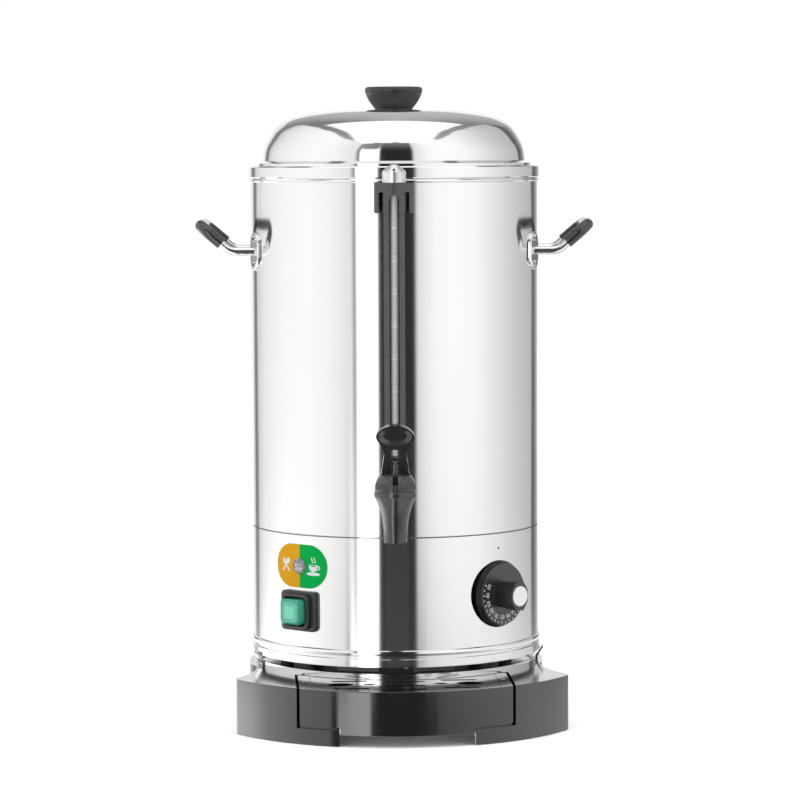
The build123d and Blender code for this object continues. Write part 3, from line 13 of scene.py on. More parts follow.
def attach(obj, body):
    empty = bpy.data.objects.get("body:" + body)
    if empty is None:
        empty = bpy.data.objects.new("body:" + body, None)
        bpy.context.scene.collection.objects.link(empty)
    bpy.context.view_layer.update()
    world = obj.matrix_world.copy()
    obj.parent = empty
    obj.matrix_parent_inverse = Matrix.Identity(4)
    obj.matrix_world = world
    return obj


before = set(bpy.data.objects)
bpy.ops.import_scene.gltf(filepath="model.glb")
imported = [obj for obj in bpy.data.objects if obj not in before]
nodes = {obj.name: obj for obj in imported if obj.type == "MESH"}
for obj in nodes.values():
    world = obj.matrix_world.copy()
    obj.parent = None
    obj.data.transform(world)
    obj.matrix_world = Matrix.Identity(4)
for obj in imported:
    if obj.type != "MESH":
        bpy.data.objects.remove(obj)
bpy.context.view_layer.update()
MM = 0.001

# ---------------------------------------------------------------- places on the object, in mm and degrees

WALL_R = 130.0                      # outside of the two shells
SEAM_Z = 174.0                      # groove between the two shells: its level, half height and floor
SEAM_HALF = 0.8
SEAM_FLOOR_R = 129.6
DECK_LEVEL = 48.0                   # top of the base and of its grille
BASE_TURN = 3.0                     # how far the base stands turned under the urn
LAMP_AZIMUTH = -40.6
LAMP_Z = 146.2
LENS_FACE = 132.3                   # distance of the lamp lens's face from the urn's axis
LENS_R = 7.0
LABEL_SKIN_R = 130.4                # outer face of the label
BUTTON_AZIMUTH = -40.6
BUTTON_Z = 106.5
BUTTON_FACE = 144.5                 # distance of the button's face from the urn's axis
DIAL_AZIMUTH = 44.5
DIAL_Z = 120.0
DIAL_FACE = 136.3                   # distance of the dial's face from the urn's axis
DOT_Z = 160.8                       # red dot above the dial
TUBE_Y = -142.5                     # the sight tube's axis and outside
TUBE_R = 4.0
HANDLE_SCREW_R = 133.9              # faces of the handle screws, from the urn's axis
HANDLE_SCREW_HEIGHTS = (411.0, 434.0)
HANDLE_SCREW_AZIMUTHS = (72.08, 107.92, -107.92, -72.08)
TRAY_SCREW_X = 87.2                 # screws in the drawer's rim, in the base's own plan, and their faces
TRAY_SCREW_Y = -130.0
TRAY_SCREW_Z = 48.95
BASE_SCREW_R = 118.0                # screws under the base, in its own plan, and their faces
BASE_SCREW_Z = 0.7
BASE_SCREW_AZIMUTHS = (80, 150, -150, -80)
INK_T = 0.08                        # thickness of print and of the painted shade in the screw recesses

# ---------------------------------------------------------------- camera

CAMERA_DISTANCE = 3.05
CAMERA_HEIGHT = 0.507
CAMERA_LENS = 151.2
CAMERA_PITCH = math.radians(-4.15)
CAMERA_YAW = math.radians(-0.086)
CAMERA_ROLL = math.radians(-0.25)


def make_camera():
    """Camera at the photograph's viewing angle."""
    data = bpy.data.cameras.new("camera")
    data.lens = CAMERA_LENS
    data.sensor_width = 36.0
    data.clip_start = 0.05
    camera = bpy.data.objects.new("camera", data)
    bpy.context.scene.collection.objects.link(camera)
    turn = Matrix.Rotation(CAMERA_YAW, 4, "Z") @ Matrix.Rotation(math.radians(90) + CAMERA_PITCH, 4, "X")
    stand = Matrix.Translation((0, -CAMERA_DISTANCE, CAMERA_HEIGHT))
    camera.matrix_world = stand @ turn @ Matrix.Rotation(CAMERA_ROLL, 4, "Z")
    bpy.context.scene.camera = camera


# ---------------------------------------------------------------- shader helpers


def make(tree, kind, inputs=None, **settings):
    """Add a shader node; inputs are numbers, colours or sockets, by name or index."""
    node = tree.nodes.new(kind)
    for name, value in settings.items():
        setattr(node, name, value)
    for key, value in (inputs or {}).items():
        socket = node.inputs[key]
        if isinstance(value, bpy.types.NodeSocket):
            tree.links.new(value, socket)
        else:
            socket.default_value = value
    return node


def maths(tree, operation, a, b=0.0, c=0.0):
    """One math node's result."""
    return make(tree, "ShaderNodeMath", {0: a, 1: b, 2: c}, operation=operation).outputs[0]


def split_up(tree, vector):
    """A vector's three numbers."""
    return make(tree, "ShaderNodeSeparateXYZ", {0: vector}).outputs


def azimuth_of(tree, x, y):
    """Angle from the front towards +X."""
    return maths(tree, "ARCTAN2", x, maths(tree, "MULTIPLY", y, -1.0))


def radius_of(tree, x, y):
    """Distance from the vertical axis."""
    return maths(tree, "POWER", maths(tree, "MULTIPLY_ADD", x, x, maths(tree, "MULTIPLY", y, y)), 0.5)


def smooth_step(tree, value, low, high):
    """0 below low, 1 above high, and a soft step between."""
    node = make(
        tree,
        "ShaderNodeMapRange",
        {"Value": value, "From Min": low, "From Max": high},
        interpolation_type="SMOOTHSTEP",
    )
    return node.outputs["Result"]


def ramp(tree, value, stops):
    """Grey ramp through (position, value) stops."""
    node = make(tree, "ShaderNodeValToRGB", {"Fac": value})
    elements = node.color_ramp.elements
    while len(elements) < len(stops):
        elements.new(0.5)
    for element, (position, level) in zip(elements, stops):
        element.position = position
        element.color = (level, level, level, 1)
    return node.outputs["Color"]


def mix(tree, factor, a, b):
    """Mix of two numbers."""
    return make(tree, "ShaderNodeMix", {0: factor, 2: a, 3: b}).outputs[0]


def blend(tree, factor, a, b):
    """Mix of two shader nodes."""
    return make(tree, "ShaderNodeMixShader", {0: factor, 1: a.outputs[0], 2: b.outputs[0]})


# ---------------------------------------------------------------- studio

# The studio is a function of direction. Azimuths are in degrees from the front towards +X, and heights are
# tangents of the elevation. Here: azimuth, brightness of the walls.
WALLS = [
    (-180, 1.05),
    (-158, 1.0),
    (-152, 0.25),
    (-146, 0.28),
    (-141, 0.85),
    (-130, 1.07),
    (-117, 1.19),
    (-95, 1.30),
    (-73, 1.36),
    (-54, 1.28),
    (-34, 1.08),
    (-33, 0.30),
    (-30, 0.25),
    (-29, 3.4),
    (-14.5, 3.4),
    (-12.5, 0.03),
    (15.5, 0.03),
    (18, 1.05),
    (32, 1.33),
    (49, 1.38),
    (68, 1.30),
    (88, 1.07),
    (108, 0.85),
    (134, 0.66),
    (140, 0.65),
    (143, 0.12),
    (150, 0.20),
    (160, 0.50),
    (168, 1.0),
    (180, 1.05),
]
WALL_PEAK = 3.4                     # highest brightness in the list
# azimuth, height at which each wall ends
WALL_TOPS = [
    (-180, 0.30),
    (-152, 0.40),
    (-141, 0.82),
    (-117, 1.16),
    (-90, 1.30),
    (-60, 1.20),
    (-33, 1.15),
    (-29, 0.42),
    (-14.5, 0.42),
    (-12.5, 0.80),
    (15.5, 0.80),
    (18, 1.15),
    (60, 1.20),
    (90, 1.30),
    (117, 1.16),
    (141, 0.82),
    (152, 0.40),
    (180, 0.30),
]
WALL_TOP_PEAK = 2.0                 # above the highest in the list
# azimuth, softness of each wall's upper edge
WALL_EDGES = [
    (-180, 0.03),
    (-34, 0.03),
    (-29, 0.16),
    (-14.5, 0.16),
    (-12.5, 0.45),
    (15.5, 0.45),
    (18, 0.03),
    (180, 0.03),
]
# azimuth, brightness above the walls
CEILING = [
    (-180, 0.60),
    (-150, 0.30),
    (-135, 0.28),
    (-90, 0.35),
    (-33, 0.40),
    (-20, 0.30),
    (20, 0.30),
    (33, 0.40),
    (90, 0.40),
    (135, 0.30),
    (180, 0.60),
]
OVERHEAD = 1.5                      # brightness of the softbox overhead
OVERHEAD_HALF = 0.6                 # its half width and its two ends, over its height above the urn
OVERHEAD_FRONT = -0.9
OVERHEAD_REAR = 0.42
EDGE = 0.03                         # softness of the softbox's and the front table's edges
FRONT_TABLE = 0.13                  # brightness of a dim patch low in front
FRONT_TABLE_MIDDLE = math.radians(1.2)
FRONT_TABLE_HALF = math.radians(9.3)
FRONT_TABLE_TOP = -0.116
# azimuth, brightness of the low band that the base's upright faces mirror and the body doesn't
LOW_FRONT = [
    (-180, 1.0),
    (-120, 3.2),
    (-100, 3.0),
    (-85, 1.8),
    (-60, 1.15),
    (-41, 0.95),
    (-40, 0.03),
    (-37, 0.03),
    (-36, 2.6),
    (-17, 3.2),
    (-15.5, 0.16),
    (-8, 0.06),
    (10, 0.06),
    (23, 0.16),
    (25, 0.50),
    (45, 0.80),
    (68, 1.0),
    (90, 1.2),
    (120, 1.1),
    (180, 1.0),
]
LOW_PEAK = 3.4                      # highest brightness in the list
LOW_TOP = -0.155                    # upper edge of that band and its softness
LOW_EDGE = 0.0015
LOW_BOTTOM = (-0.8, -0.6)           # heights between which it fades out downwards
TINY = 0.001                        # keeps a division off zero


def spread(stops, peak):
    """Stops by azimuth in degrees as ramp stops from 0 to 1."""
    return [((azimuth + 180) / 360, level / peak) for azimuth, level in stops]


def make_studio():
    """World with large soft walls, a strip light, a dark gap in front and an overhead softbox.

    The camera sees it plain white; the object is lit by it and mirrors it.
    """
    world = bpy.data.worlds.new("studio")
    world.use_nodes = True
    bpy.context.scene.world = world
    tree = world.node_tree
    tree.nodes.clear()
    ray = make(tree, "ShaderNodeTexCoord").outputs["Generated"]
    x, y, z = split_up(tree, ray)
    azimuth = azimuth_of(tree, x, y)
    around = maths(tree, "ADD", maths(tree, "DIVIDE", azimuth, 2 * math.pi), 0.5)
    level = radius_of(tree, x, y)
    slope = maths(tree, "DIVIDE", z, maths(tree, "MAXIMUM", level, TINY))
    walls = maths(tree, "MULTIPLY", ramp(tree, around, spread(WALLS, WALL_PEAK)), WALL_PEAK)
    tops = maths(tree, "MULTIPLY", ramp(tree, around, spread(WALL_TOPS, WALL_TOP_PEAK)), WALL_TOP_PEAK)
    ceiling = ramp(tree, around, spread(CEILING, 1.0))
    edges = ramp(tree, around, spread(WALL_EDGES, 1.0))
    beyond = maths(tree, "DIVIDE", maths(tree, "SUBTRACT", slope, tops), edges)
    above = smooth_step(tree, beyond, -1.0, 1.0)
    room = mix(tree, above, walls, ceiling)
    # softbox overhead, on a level plane
    up = maths(tree, "MAXIMUM", z, TINY)
    across = maths(tree, "ABSOLUTE", maths(tree, "DIVIDE", x, up))
    along = maths(tree, "DIVIDE", y, up)
    inside = smooth_step(tree, across, OVERHEAD_HALF + EDGE, OVERHEAD_HALF - EDGE)
    for limit, sense in ((OVERHEAD_FRONT, 1), (OVERHEAD_REAR, -1)):
        edge = smooth_step(tree, along, limit - sense * EDGE, limit + sense * EDGE)
        inside = maths(tree, "MULTIPLY", inside, edge)
    room = mix(tree, inside, room, OVERHEAD)
    # dim patch low in front
    aside = maths(tree, "ABSOLUTE", maths(tree, "SUBTRACT", azimuth, FRONT_TABLE_MIDDLE))
    near = smooth_step(tree, aside, FRONT_TABLE_HALF + EDGE / 2, FRONT_TABLE_HALF - EDGE / 2)
    low = smooth_step(tree, slope, FRONT_TABLE_TOP + EDGE / 2, FRONT_TABLE_TOP - EDGE / 2)
    room = mix(tree, maths(tree, "MULTIPLY", near, low), room, FRONT_TABLE)
    # low band all round
    front = maths(tree, "MULTIPLY", ramp(tree, around, spread(LOW_FRONT, LOW_PEAK)), LOW_PEAK)
    below = smooth_step(tree, slope, LOW_TOP + LOW_EDGE, LOW_TOP - LOW_EDGE)
    over = smooth_step(tree, slope, *LOW_BOTTOM)
    room = mix(tree, maths(tree, "MULTIPLY", below, over), room, front)
    seen = make(tree, "ShaderNodeLightPath").outputs["Is Camera Ray"]
    strength = mix(tree, seen, room, 1.0)
    background = make(tree, "ShaderNodeBackground", {"Color": (1, 1, 1, 1), "Strength": strength})
    out = make(tree, "ShaderNodeOutputWorld")
    tree.links.new(background.outputs[0], out.inputs["Surface"])


FLOOR_HALF = 6.0
FLOOR_GAIN = 0.72                   # each of the two white coats that the camera sees
FLOOR_BOUNCE = 0.8                  # the floor's brightness for light that bounces to the object


def make_floor():
    """White floor that keeps the urn's shadow; polished surfaces see the studio through it."""
    mesh = bpy.data.meshes.new("floor")
    corners = [(-1, -1), (1, -1), (1, 1), (-1, 1)]
    mesh.from_pydata([(x * FLOOR_HALF, y * FLOOR_HALF, 0) for x, y in corners], [], [(0, 1, 2, 3)])
    floor = bpy.data.objects.new("floor", mesh)
    bpy.context.scene.collection.objects.link(floor)
    material = bpy.data.materials.new("floor")
    material.use_nodes = True
    tree = material.node_tree
    tree.nodes.clear()
    coat = make(tree, "ShaderNodeBsdfDiffuse", {"Color": (FLOOR_GAIN,) * 3 + (1,)})
    seen = make(tree, "ShaderNodeAddShader", {0: coat.outputs[0], 1: coat.outputs[0]})
    bounce = make(tree, "ShaderNodeBsdfDiffuse", {"Color": (FLOOR_BOUNCE,) * 3 + (1,)})
    clear = make(tree, "ShaderNodeBsdfTransparent")
    path = make(tree, "ShaderNodeLightPath")
    mirrored = maths(tree, "MAXIMUM", path.outputs["Is Glossy Ray"], path.outputs["Is Transmission Ray"])
    lit = blend(tree, path.outputs["Is Camera Ray"], bounce, seen)
    final = blend(tree, mirrored, lit, clear)
    out = make(tree, "ShaderNodeOutputMaterial")
    tree.links.new(final.outputs[0], out.inputs["Surface"])
    mesh.materials.append(material)


# ---------------------------------------------------------------- finishes


def start_finish(name, **values):
    """New material with a Principled shader set to fixed values; returns material, tree and shader."""
    material = bpy.data.materials.new(name)
    material.use_nodes = True
    tree = material.node_tree
    shader = tree.nodes["Principled BSDF"]
    for key, value in values.items():
        shader.inputs[key.replace("_", " ")].default_value = value
    return material, tree, shader


def place(tree):
    """The CAD frame's position on the surface."""
    return make(tree, "ShaderNodeTexCoord").outputs["Object"]


def noise(tree, vector, scale, detail=3.0):
    """Cloudy pattern from 0 to 1; where the vector is a place, the scale is in changes per metre."""
    node = make(tree, "ShaderNodeTexNoise", {"Vector": vector, "Scale": scale, "Detail": detail})
    return node.outputs["Fac"]


def distance_along(tree, position, direction):
    """Distance of a position along a direction."""
    node = make(tree, "ShaderNodeVectorMath", {0: position, 1: direction}, operation="DOT_PRODUCT")
    return node.outputs["Value"]


def between(tree, factor, low, high):
    """A number that follows a 0 to 1 pattern between two limits."""
    node = make(tree, "ShaderNodeMapRange", {"Value": factor, "To Min": low, "To Max": high})
    return node.outputs["Result"]


def tint(tree, factor, a, b):
    """Mix of two colours."""
    node = make(tree, "ShaderNodeMix", {0: factor, 6: (*a, 1), 7: (*b, 1)}, data_type="RGBA")
    return node.outputs[2]


def bump(tree, shader, height, strength, distance):
    """Relief from a pattern; distance is its depth in metres."""
    node = make(tree, "ShaderNodeBump", {"Height": height, "Strength": strength, "Distance": distance})
    tree.links.new(node.outputs["Normal"], shader.inputs["Normal"])


def round_the_axis(tree, around_scale, up_scale):
    """Coordinates that run round the urn's axis and up it, for grain that circles the sheet."""
    x, y, z = split_up(tree, place(tree))
    around = maths(tree, "MULTIPLY", azimuth_of(tree, x, y), around_scale)
    up = maths(tree, "MULTIPLY", z, up_scale)
    return make(tree, "ShaderNodeCombineXYZ", {0: around, 1: up}).outputs[0]


STEEL = (0.74, 0.735, 0.73)
STEEL_DARK = (0.70, 0.695, 0.69)
# painted shade: a near-black, rough colour laid into the groove between the two shells, where shade falls
SEAM_SHADE = (0.02, 0.02, 0.02)
SEAM_SHADE_ROUGHNESS = 0.8
SEAM_SHADE_SHARE = 0.6                     # share of painted shade in the seam


def seam_dirt(tree):
    """Share of painted shade: the seam's set share in the narrow groove between the two shells, 0 elsewhere.
    """
    x, y, z = split_up(tree, place(tree))
    radius = radius_of(tree, x, y)
    level = maths(tree, "ABSOLUTE", maths(tree, "SUBTRACT", z, SEAM_Z * MM))
    deep = smooth_step(tree, radius, SEAM_FLOOR_R * MM, (SEAM_FLOOR_R - 0.2) * MM)
    within = smooth_step(tree, level, (SEAM_HALF + 0.1) * MM, (SEAM_HALF - 0.1) * MM)
    shade = maths(tree, "MULTIPLY", deep, within)
    return maths(tree, "MULTIPLY", shade, SEAM_SHADE_SHARE)


CLOUD_SCALE = 9.0                   # slow changes of tone per metre of sheet
GRAIN_AROUND = 6.0                  # circling grain: changes per radian
GRAIN_UP = 5200.0                   # and per metre of height


def polished_steel(name, roughness=0.13, stretch=0.8):
    """Polished sheet with the faint circling grain of its last pass and a slow change of tone."""
    material, tree, shader = start_finish(name, Metallic=1.0, Anisotropic=stretch, Anisotropic_Rotation=0.25)
    tangent = make(tree, "ShaderNodeTangent", direction_type="RADIAL", axis="Z")
    tree.links.new(tangent.outputs[0], shader.inputs["Tangent"])
    cloud = noise(tree, place(tree), CLOUD_SCALE)
    lines = noise(tree, round_the_axis(tree, GRAIN_AROUND, GRAIN_UP), 1.0, detail=2.0)
    # painted shade darkens and roughens the seam groove
    seam_shade = seam_dirt(tree)
    sheet = tint(tree, cloud, STEEL_DARK, STEEL)
    shaded_sheet = make(tree, "ShaderNodeMix", {0: seam_shade, 6: sheet, 7: (*SEAM_SHADE, 1)}, data_type="RGBA")
    tree.links.new(shaded_sheet.outputs[2], shader.inputs["Base Color"])
    rough = between(tree, maths(tree, "MULTIPLY", cloud, lines), roughness * 0.8, roughness * 1.25)
    tree.links.new(mix(tree, seam_shade, rough, SEAM_SHADE_ROUGHNESS), shader.inputs["Roughness"])
    bump(tree, shader, lines, 0.10, 0.02 * MM)
    return material


def plain_steel(name, colour, roughness):
    """Turned, drawn or plated steel of small parts."""
    material, tree, shader = start_finish(name, Metallic=1.0)
    spots = noise(tree, place(tree), 900.0, detail=4.0)
    cloud = noise(tree, place(tree), 60.0)
    darker = tuple(0.88 * c for c in colour)
    tree.links.new(tint(tree, cloud, darker, colour), shader.inputs["Base Color"])
    tree.links.new(between(tree, spots, roughness * 0.75, roughness * 1.3), shader.inputs["Roughness"])
    bump(tree, shader, spots, 0.12, 0.05 * MM)
    return material


GLANCE = 0.7                        # share of the coat at the lowest angles, its colour and its roughness
GLANCE_COLOUR = (0.85, 0.85, 0.85)
GLANCE_ROUGHNESS = 0.15


def glance_coat(tree, shader):
    """Mirror-like coat on the deck that shows only where it is seen at a low angle."""
    facing = make(tree, "ShaderNodeLayerWeight").outputs["Facing"]
    height = split_up(tree, place(tree))[2]
    deck = smooth_step(tree, height, (DECK_LEVEL - 0.2) * MM, DECK_LEVEL * MM)
    low = smooth_step(tree, facing, 0.6, 0.95)
    share = maths(tree, "MULTIPLY", maths(tree, "MULTIPLY", low, GLANCE), deck)
    mirror = make(tree, "ShaderNodeBsdfGlossy", {"Color": (*GLANCE_COLOUR, 1), "Roughness": GLANCE_ROUGHNESS})
    both = blend(tree, share, shader, mirror)
    tree.links.new(both.outputs[0], tree.nodes["Material Output"].inputs["Surface"])


def gloss_plastic(name, colour, roughness):
    """Glossy moulding of the base: a barely wavy skin with fine dulling, and a glancing coat on its deck."""
    material, tree, shader = start_finish(name, IOR=1.8)
    wave = noise(tree, place(tree), 35.0, detail=2.0)
    dull = noise(tree, place(tree), 420.0, detail=5.0)
    lighter = tuple(min(1.0, 1.35 * c + 0.001) for c in colour)
    tree.links.new(tint(tree, dull, colour, lighter), shader.inputs["Base Color"])
    tree.links.new(between(tree, dull, roughness * 0.8, roughness * 1.4), shader.inputs["Roughness"])
    bump(tree, shader, wave, 0.05, 0.2 * MM)
    glance_coat(tree, shader)
    return material


def satin_plastic(name, colour, roughness, texture=1400.0, depth=0.03 * MM, ior=1.5):
    """Moulding with a fine spark-eroded texture."""
    material, tree, shader = start_finish(name, IOR=ior)
    pits = noise(tree, place(tree), texture, detail=2.0)
    cloud = noise(tree, place(tree), 45.0)
    lighter = tuple(min(1.0, 1.3 * c + 0.002) for c in colour)
    tree.links.new(tint(tree, cloud, colour, lighter), shader.inputs["Base Color"])
    tree.links.new(between(tree, pits, roughness * 0.85, roughness * 1.2), shader.inputs["Roughness"])
    bump(tree, shader, pits, 0.35, depth)
    return material


def soft_rubber(name, colour):
    """Rubber with a dusty bloom."""
    material, tree, shader = start_finish(name, IOR=1.5)
    bloom = noise(tree, place(tree), 240.0, detail=5.0)
    lighter = tuple(1.6 * c + 0.004 for c in colour)
    tree.links.new(tint(tree, bloom, colour, lighter), shader.inputs["Base Color"])
    tree.links.new(between(tree, bloom, 0.55, 0.8), shader.inputs["Roughness"])
    bump(tree, shader, bloom, 0.2, 0.05 * MM)
    return material


def glass_tube(name):
    """Drawn glass with faint lengthwise drawing lines."""
    material, tree, shader = start_finish(name, IOR=1.47, Transmission_Weight=0.25)
    lines = noise(tree, round_the_axis(tree, 400.0, 3.0), 1.0)
    # the pale grey colour is painted light, standing for the light the glass gathers and bends; the drawing
    # lines vary it a little
    tree.links.new(tint(tree, lines, (0.80, 0.82, 0.82), (0.88, 0.90, 0.90)), shader.inputs["Base Color"])
    tree.links.new(between(tree, lines, 0.02, 0.06), shader.inputs["Roughness"])
    return material


def clear_plastic(name, colour, roughness, clear):
    """Tinted moulding that is see-through in part."""
    material, tree, shader = start_finish(name, IOR=1.49, Transmission_Weight=clear)
    cloud = noise(tree, place(tree), 260.0)
    darker = tuple(0.85 * c for c in colour)
    tree.links.new(tint(tree, cloud, darker, colour), shader.inputs["Base Color"])
    tree.links.new(between(tree, cloud, roughness, roughness * 2), shader.inputs["Roughness"])
    return material


DIAL_EDGE = 0.6                     # depth of the rounded edge between the dial's face and its slanted rim
DIAL_RIM_SHINE = 0.04               # specular level of the rim, and of the face
DIAL_FACE_SHINE = 0.3


def dial_plastic(name, colour, roughness):
    """Moulded dial: a shiny face and grip, and a dull slanted rim."""
    material, tree, shader = start_finish(name, IOR=1.9)
    position = place(tree)
    turn = math.radians(DIAL_AZIMUTH)
    out = distance_along(tree, position, (math.sin(turn), -math.cos(turn), 0))
    face = smooth_step(tree, out, (DIAL_FACE - DIAL_EDGE - 0.2) * MM, (DIAL_FACE - DIAL_EDGE + 0.2) * MM)
    specks = noise(tree, position, 520.0, detail=4.0)
    lighter = tuple(1.4 * c for c in colour)
    tree.links.new(tint(tree, specks, colour, lighter), shader.inputs["Base Color"])
    tree.links.new(between(tree, specks, roughness * 0.85, roughness * 1.2), shader.inputs["Roughness"])
    tree.links.new(between(tree, face, DIAL_RIM_SHINE, DIAL_FACE_SHINE), shader.inputs["Specular IOR Level"])
    bump(tree, shader, specks, 0.1, 0.02 * MM)
    return material


def lens_plastic(name):
    """Clear facetted lens with a mottled look."""
    material, tree, shader = start_finish(name, IOR=1.49, Transmission_Weight=0.3)
    facets = make(tree, "ShaderNodeTexVoronoi", {"Vector": place(tree), "Scale": 330.0}).outputs["Distance"]
    mottle = ramp(tree, facets, [(0.15, 0.0), (0.75, 1.0)])
    tree.links.new(tint(tree, mottle, (0.86, 0.82, 0.88), (0.30, 0.27, 0.33)), shader.inputs["Base Color"])
    tree.links.new(between(tree, facets, 0.05, 0.25), shader.inputs["Roughness"])
    bump(tree, shader, facets, 0.4, 0.15 * MM)
    return material


LABEL_ORANGE = (0.72, 0.36, 0.012)
LABEL_GREEN = (0.0, 0.41, 0.07)


def label_film(name):
    """Printed film, orange left of the lamp and green right of it."""
    material, tree, shader = start_finish(name, IOR=1.15)
    position = place(tree)
    turn = math.radians(LAMP_AZIMUTH)
    side = distance_along(tree, position, (math.cos(turn), math.sin(turn), 0))
    split = smooth_step(tree, side, -0.1 * MM, 0.1 * MM)
    speckle = noise(tree, position, 900.0)
    colour = tint(tree, split, LABEL_ORANGE, LABEL_GREEN)
    tone = between(tree, speckle, 0.92, 1.04)
    faded = make(tree, "ShaderNodeHueSaturation", {"Value": tone, "Color": colour})
    tree.links.new(faded.outputs[0], shader.inputs["Base Color"])
    tree.links.new(between(tree, speckle, 0.30, 0.42), shader.inputs["Roughness"])
    bump(tree, shader, speckle, 0.1, 0.02 * MM)
    return material


def assign(material, *names):
    """Give CAD nodes a finish."""
    for name in names:
        mesh = nodes[name].data
        mesh.materials.clear()
        mesh.materials.append(material)


def dress_nodes():
    """A finish for every CAD node."""
    shell = polished_steel("polished_shell")
    assign(shell, "outer_shell", "lower_shell", "rim_collar", "bottom_flange", "base_collar", "lid_ring")
    dome = polished_steel("polished_dome", roughness=0.08, stretch=0.4)
    assign(dome, "lid_dome", "inner_tank", "tank_floor")
    bright = plain_steel("bright_steel", (0.78, 0.775, 0.77), 0.18)
    assign(bright, "left_handle_rod", "right_handle_rod", "handle_plates", "locating_lugs")
    assign(plain_steel("satin_steel", (0.70, 0.695, 0.69), 0.35), "gauge_cap")
    plated = plain_steel("plated_steel", (0.66, 0.65, 0.63), 0.28)
    assign(
        plated, "base_screws", "tray_screws", "handle_screws", "tie_rods", "tie_nuts", "clamp_bar",
        "clamp_hardware", "lever_pin", "thermostat_shaft", "lid_knob_screw",
    )
    # painted shade: the bottom plate gets a near-black steel colour so that the gap under the flange reads
    # dark
    assign(plain_steel("painted_shade_plate", (0.09, 0.09, 0.09), 0.45), "bottom_plate")
    assign(plain_steel("element_steel", (0.50, 0.48, 0.46), 0.35), "heating_element")
    assign(plain_steel("cast_aluminium", (0.72, 0.72, 0.73), 0.45), "element_plate")
    assign(plain_steel("copper", (0.80, 0.45, 0.30), 0.3), "thermostat_bulb")
    gloss = gloss_plastic("gloss_black", (0.009, 0.009, 0.010), 0.06)
    assign(gloss, "base_shell", "drip_tray", "drip_grille")
    assign(dial_plastic("dial_black", (0.018, 0.018, 0.019), 0.26), "thermostat_knob")
    tap = satin_plastic("tap_black", (0.018, 0.018, 0.019), 0.20, texture=700.0, depth=0.01 * MM, ior=1.65)
    assign(tap, "tap_body", "tap_bonnet", "tap_lever", "tap_stem")
    gauge = satin_plastic("gauge_black", (0.09, 0.09, 0.092), 0.30)
    assign(gauge, "gauge_channel", "gauge_head", "gauge_fitting")
    grip = satin_plastic("grip_black", (0.022, 0.022, 0.023), 0.14, texture=900.0, depth=0.01 * MM, ior=1.6)
    assign(grip, "left_handle_grip", "right_handle_grip")
    assign(
        satin_plastic("satin_black", (0.024, 0.024, 0.026), 0.38),
        "lid_knob", "switch_bezel", "switch_body", "power_inlet", "base_floor", "thermal_cutout",
        "thermostat_body",
    )
    assign(soft_rubber("rubber", (0.015, 0.015, 0.015)), "base_feet", "urn_feet")
    assign(soft_rubber("silicone", (0.62, 0.60, 0.55)), "gauge_seals", "tap_seals", "seat_cup")
    assign(glass_tube("glass"), "gauge_tube")
    white = satin_plastic("white_plastic", (0.78, 0.78, 0.77), 0.35)
    assign(white, "knob_cap", "terminal_block", "lamp_body", "tap_nut")
    assign(clear_plastic("green_plastic", (0.06, 0.50, 0.34), 0.12, 0.25), "switch_button")
    assign(lens_plastic("lamp_plastic"), "lamp_lens")
    assign(label_film("label_film"), "status_label")


# ---------------------------------------------------------------- printed and moulded details


def flat_mesh(loops, thickness):
    """Thin plate in local x and y, in millimetres; a loop of points inside another is a hole."""
    curve = bpy.data.curves.new("outline", "CURVE")
    curve.dimensions = "2D"
    curve.fill_mode = "BOTH"
    curve.extrude = thickness / 2
    for loop in loops:
        spline = curve.splines.new("POLY")
        spline.points.add(len(loop) - 1)
        spline.use_cyclic_u = True
        for point, (x, y) in zip(spline.points, loop):
            point.co = (x, y, 0, 1)
    return curve_to_mesh(curve)


def text_mesh(words, size, thickness):
    """Thin plate in the shape of a number, centred, in millimetres."""
    curve = bpy.data.curves.new("words", "FONT")
    curve.body = words
    curve.size = size
    curve.extrude = thickness / 2
    curve.align_x = "CENTER"
    curve.align_y = "CENTER"
    curve.resolution_u = 3
    return curve_to_mesh(curve)


def curve_to_mesh(curve):
    """A curve's filled shape as a mesh."""
    carrier = bpy.data.objects.new(curve.name, curve)
    mesh = bpy.data.meshes.new_from_object(carrier)
    bpy.data.objects.remove(carrier)
    bpy.data.curves.remove(curve)
    return mesh


def gather(name, parts, material, body):
    """One piece from (mesh, width, bend) parts; each is sliced along x, unless the width is 0, and bent."""
    joined = bmesh.new()
    for mesh, width, bend in parts:
        flat = bmesh.new()
        flat.from_mesh(mesh)
        low = min(v.co.x for v in flat.verts)
        high = max(v.co.x for v in flat.verts)
        cut = (math.floor(low / width) + 1) * width if width else high
        while cut < high:
            everything = flat.verts[:] + flat.edges[:] + flat.faces[:]
            bmesh.ops.bisect_plane(flat, geom=everything, plane_co=(cut, 0, 0), plane_no=(1, 0, 0))
            cut += width
        for v in flat.verts:
            v.co = Vector(bend(*v.co)) * MM
        flat.to_mesh(mesh)
        flat.free()
        joined.from_mesh(mesh)
        bpy.data.meshes.remove(mesh)
    bmesh.ops.recalc_face_normals(joined, faces=joined.faces[:])
    final = bpy.data.meshes.new(name)
    joined.to_mesh(final)
    joined.free()
    final.materials.append(material)
    piece = bpy.data.objects.new(name, final)
    bpy.context.scene.collection.objects.link(piece)
    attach(piece, body)


def on_cylinder(radius, azimuth, height, middle_y=0.0):
    """Bend that lays a flat shape round an upright cylinder."""

    def bend(x, y, z):
        turn = math.radians(azimuth) + x / radius
        return ((radius + z) * math.sin(turn), middle_y - (radius + z) * math.cos(turn), height + y)

    return bend


def on_face(azimuth, height, distance, turn=0.0, shift=(0.0, 0.0)):
    """Bend that lays a flat shape on an upright face, after it is shifted and then turned."""
    a = math.radians(azimuth)
    t = math.radians(turn)

    def bend(x, y, z):
        x, y = x + shift[0], y + shift[1]
        x, y = x * math.cos(t) - y * math.sin(t), x * math.sin(t) + y * math.cos(t)
        out = distance + z
        return (out * math.sin(a) + x * math.cos(a), -out * math.cos(a) + x * math.sin(a), height + y)

    return bend


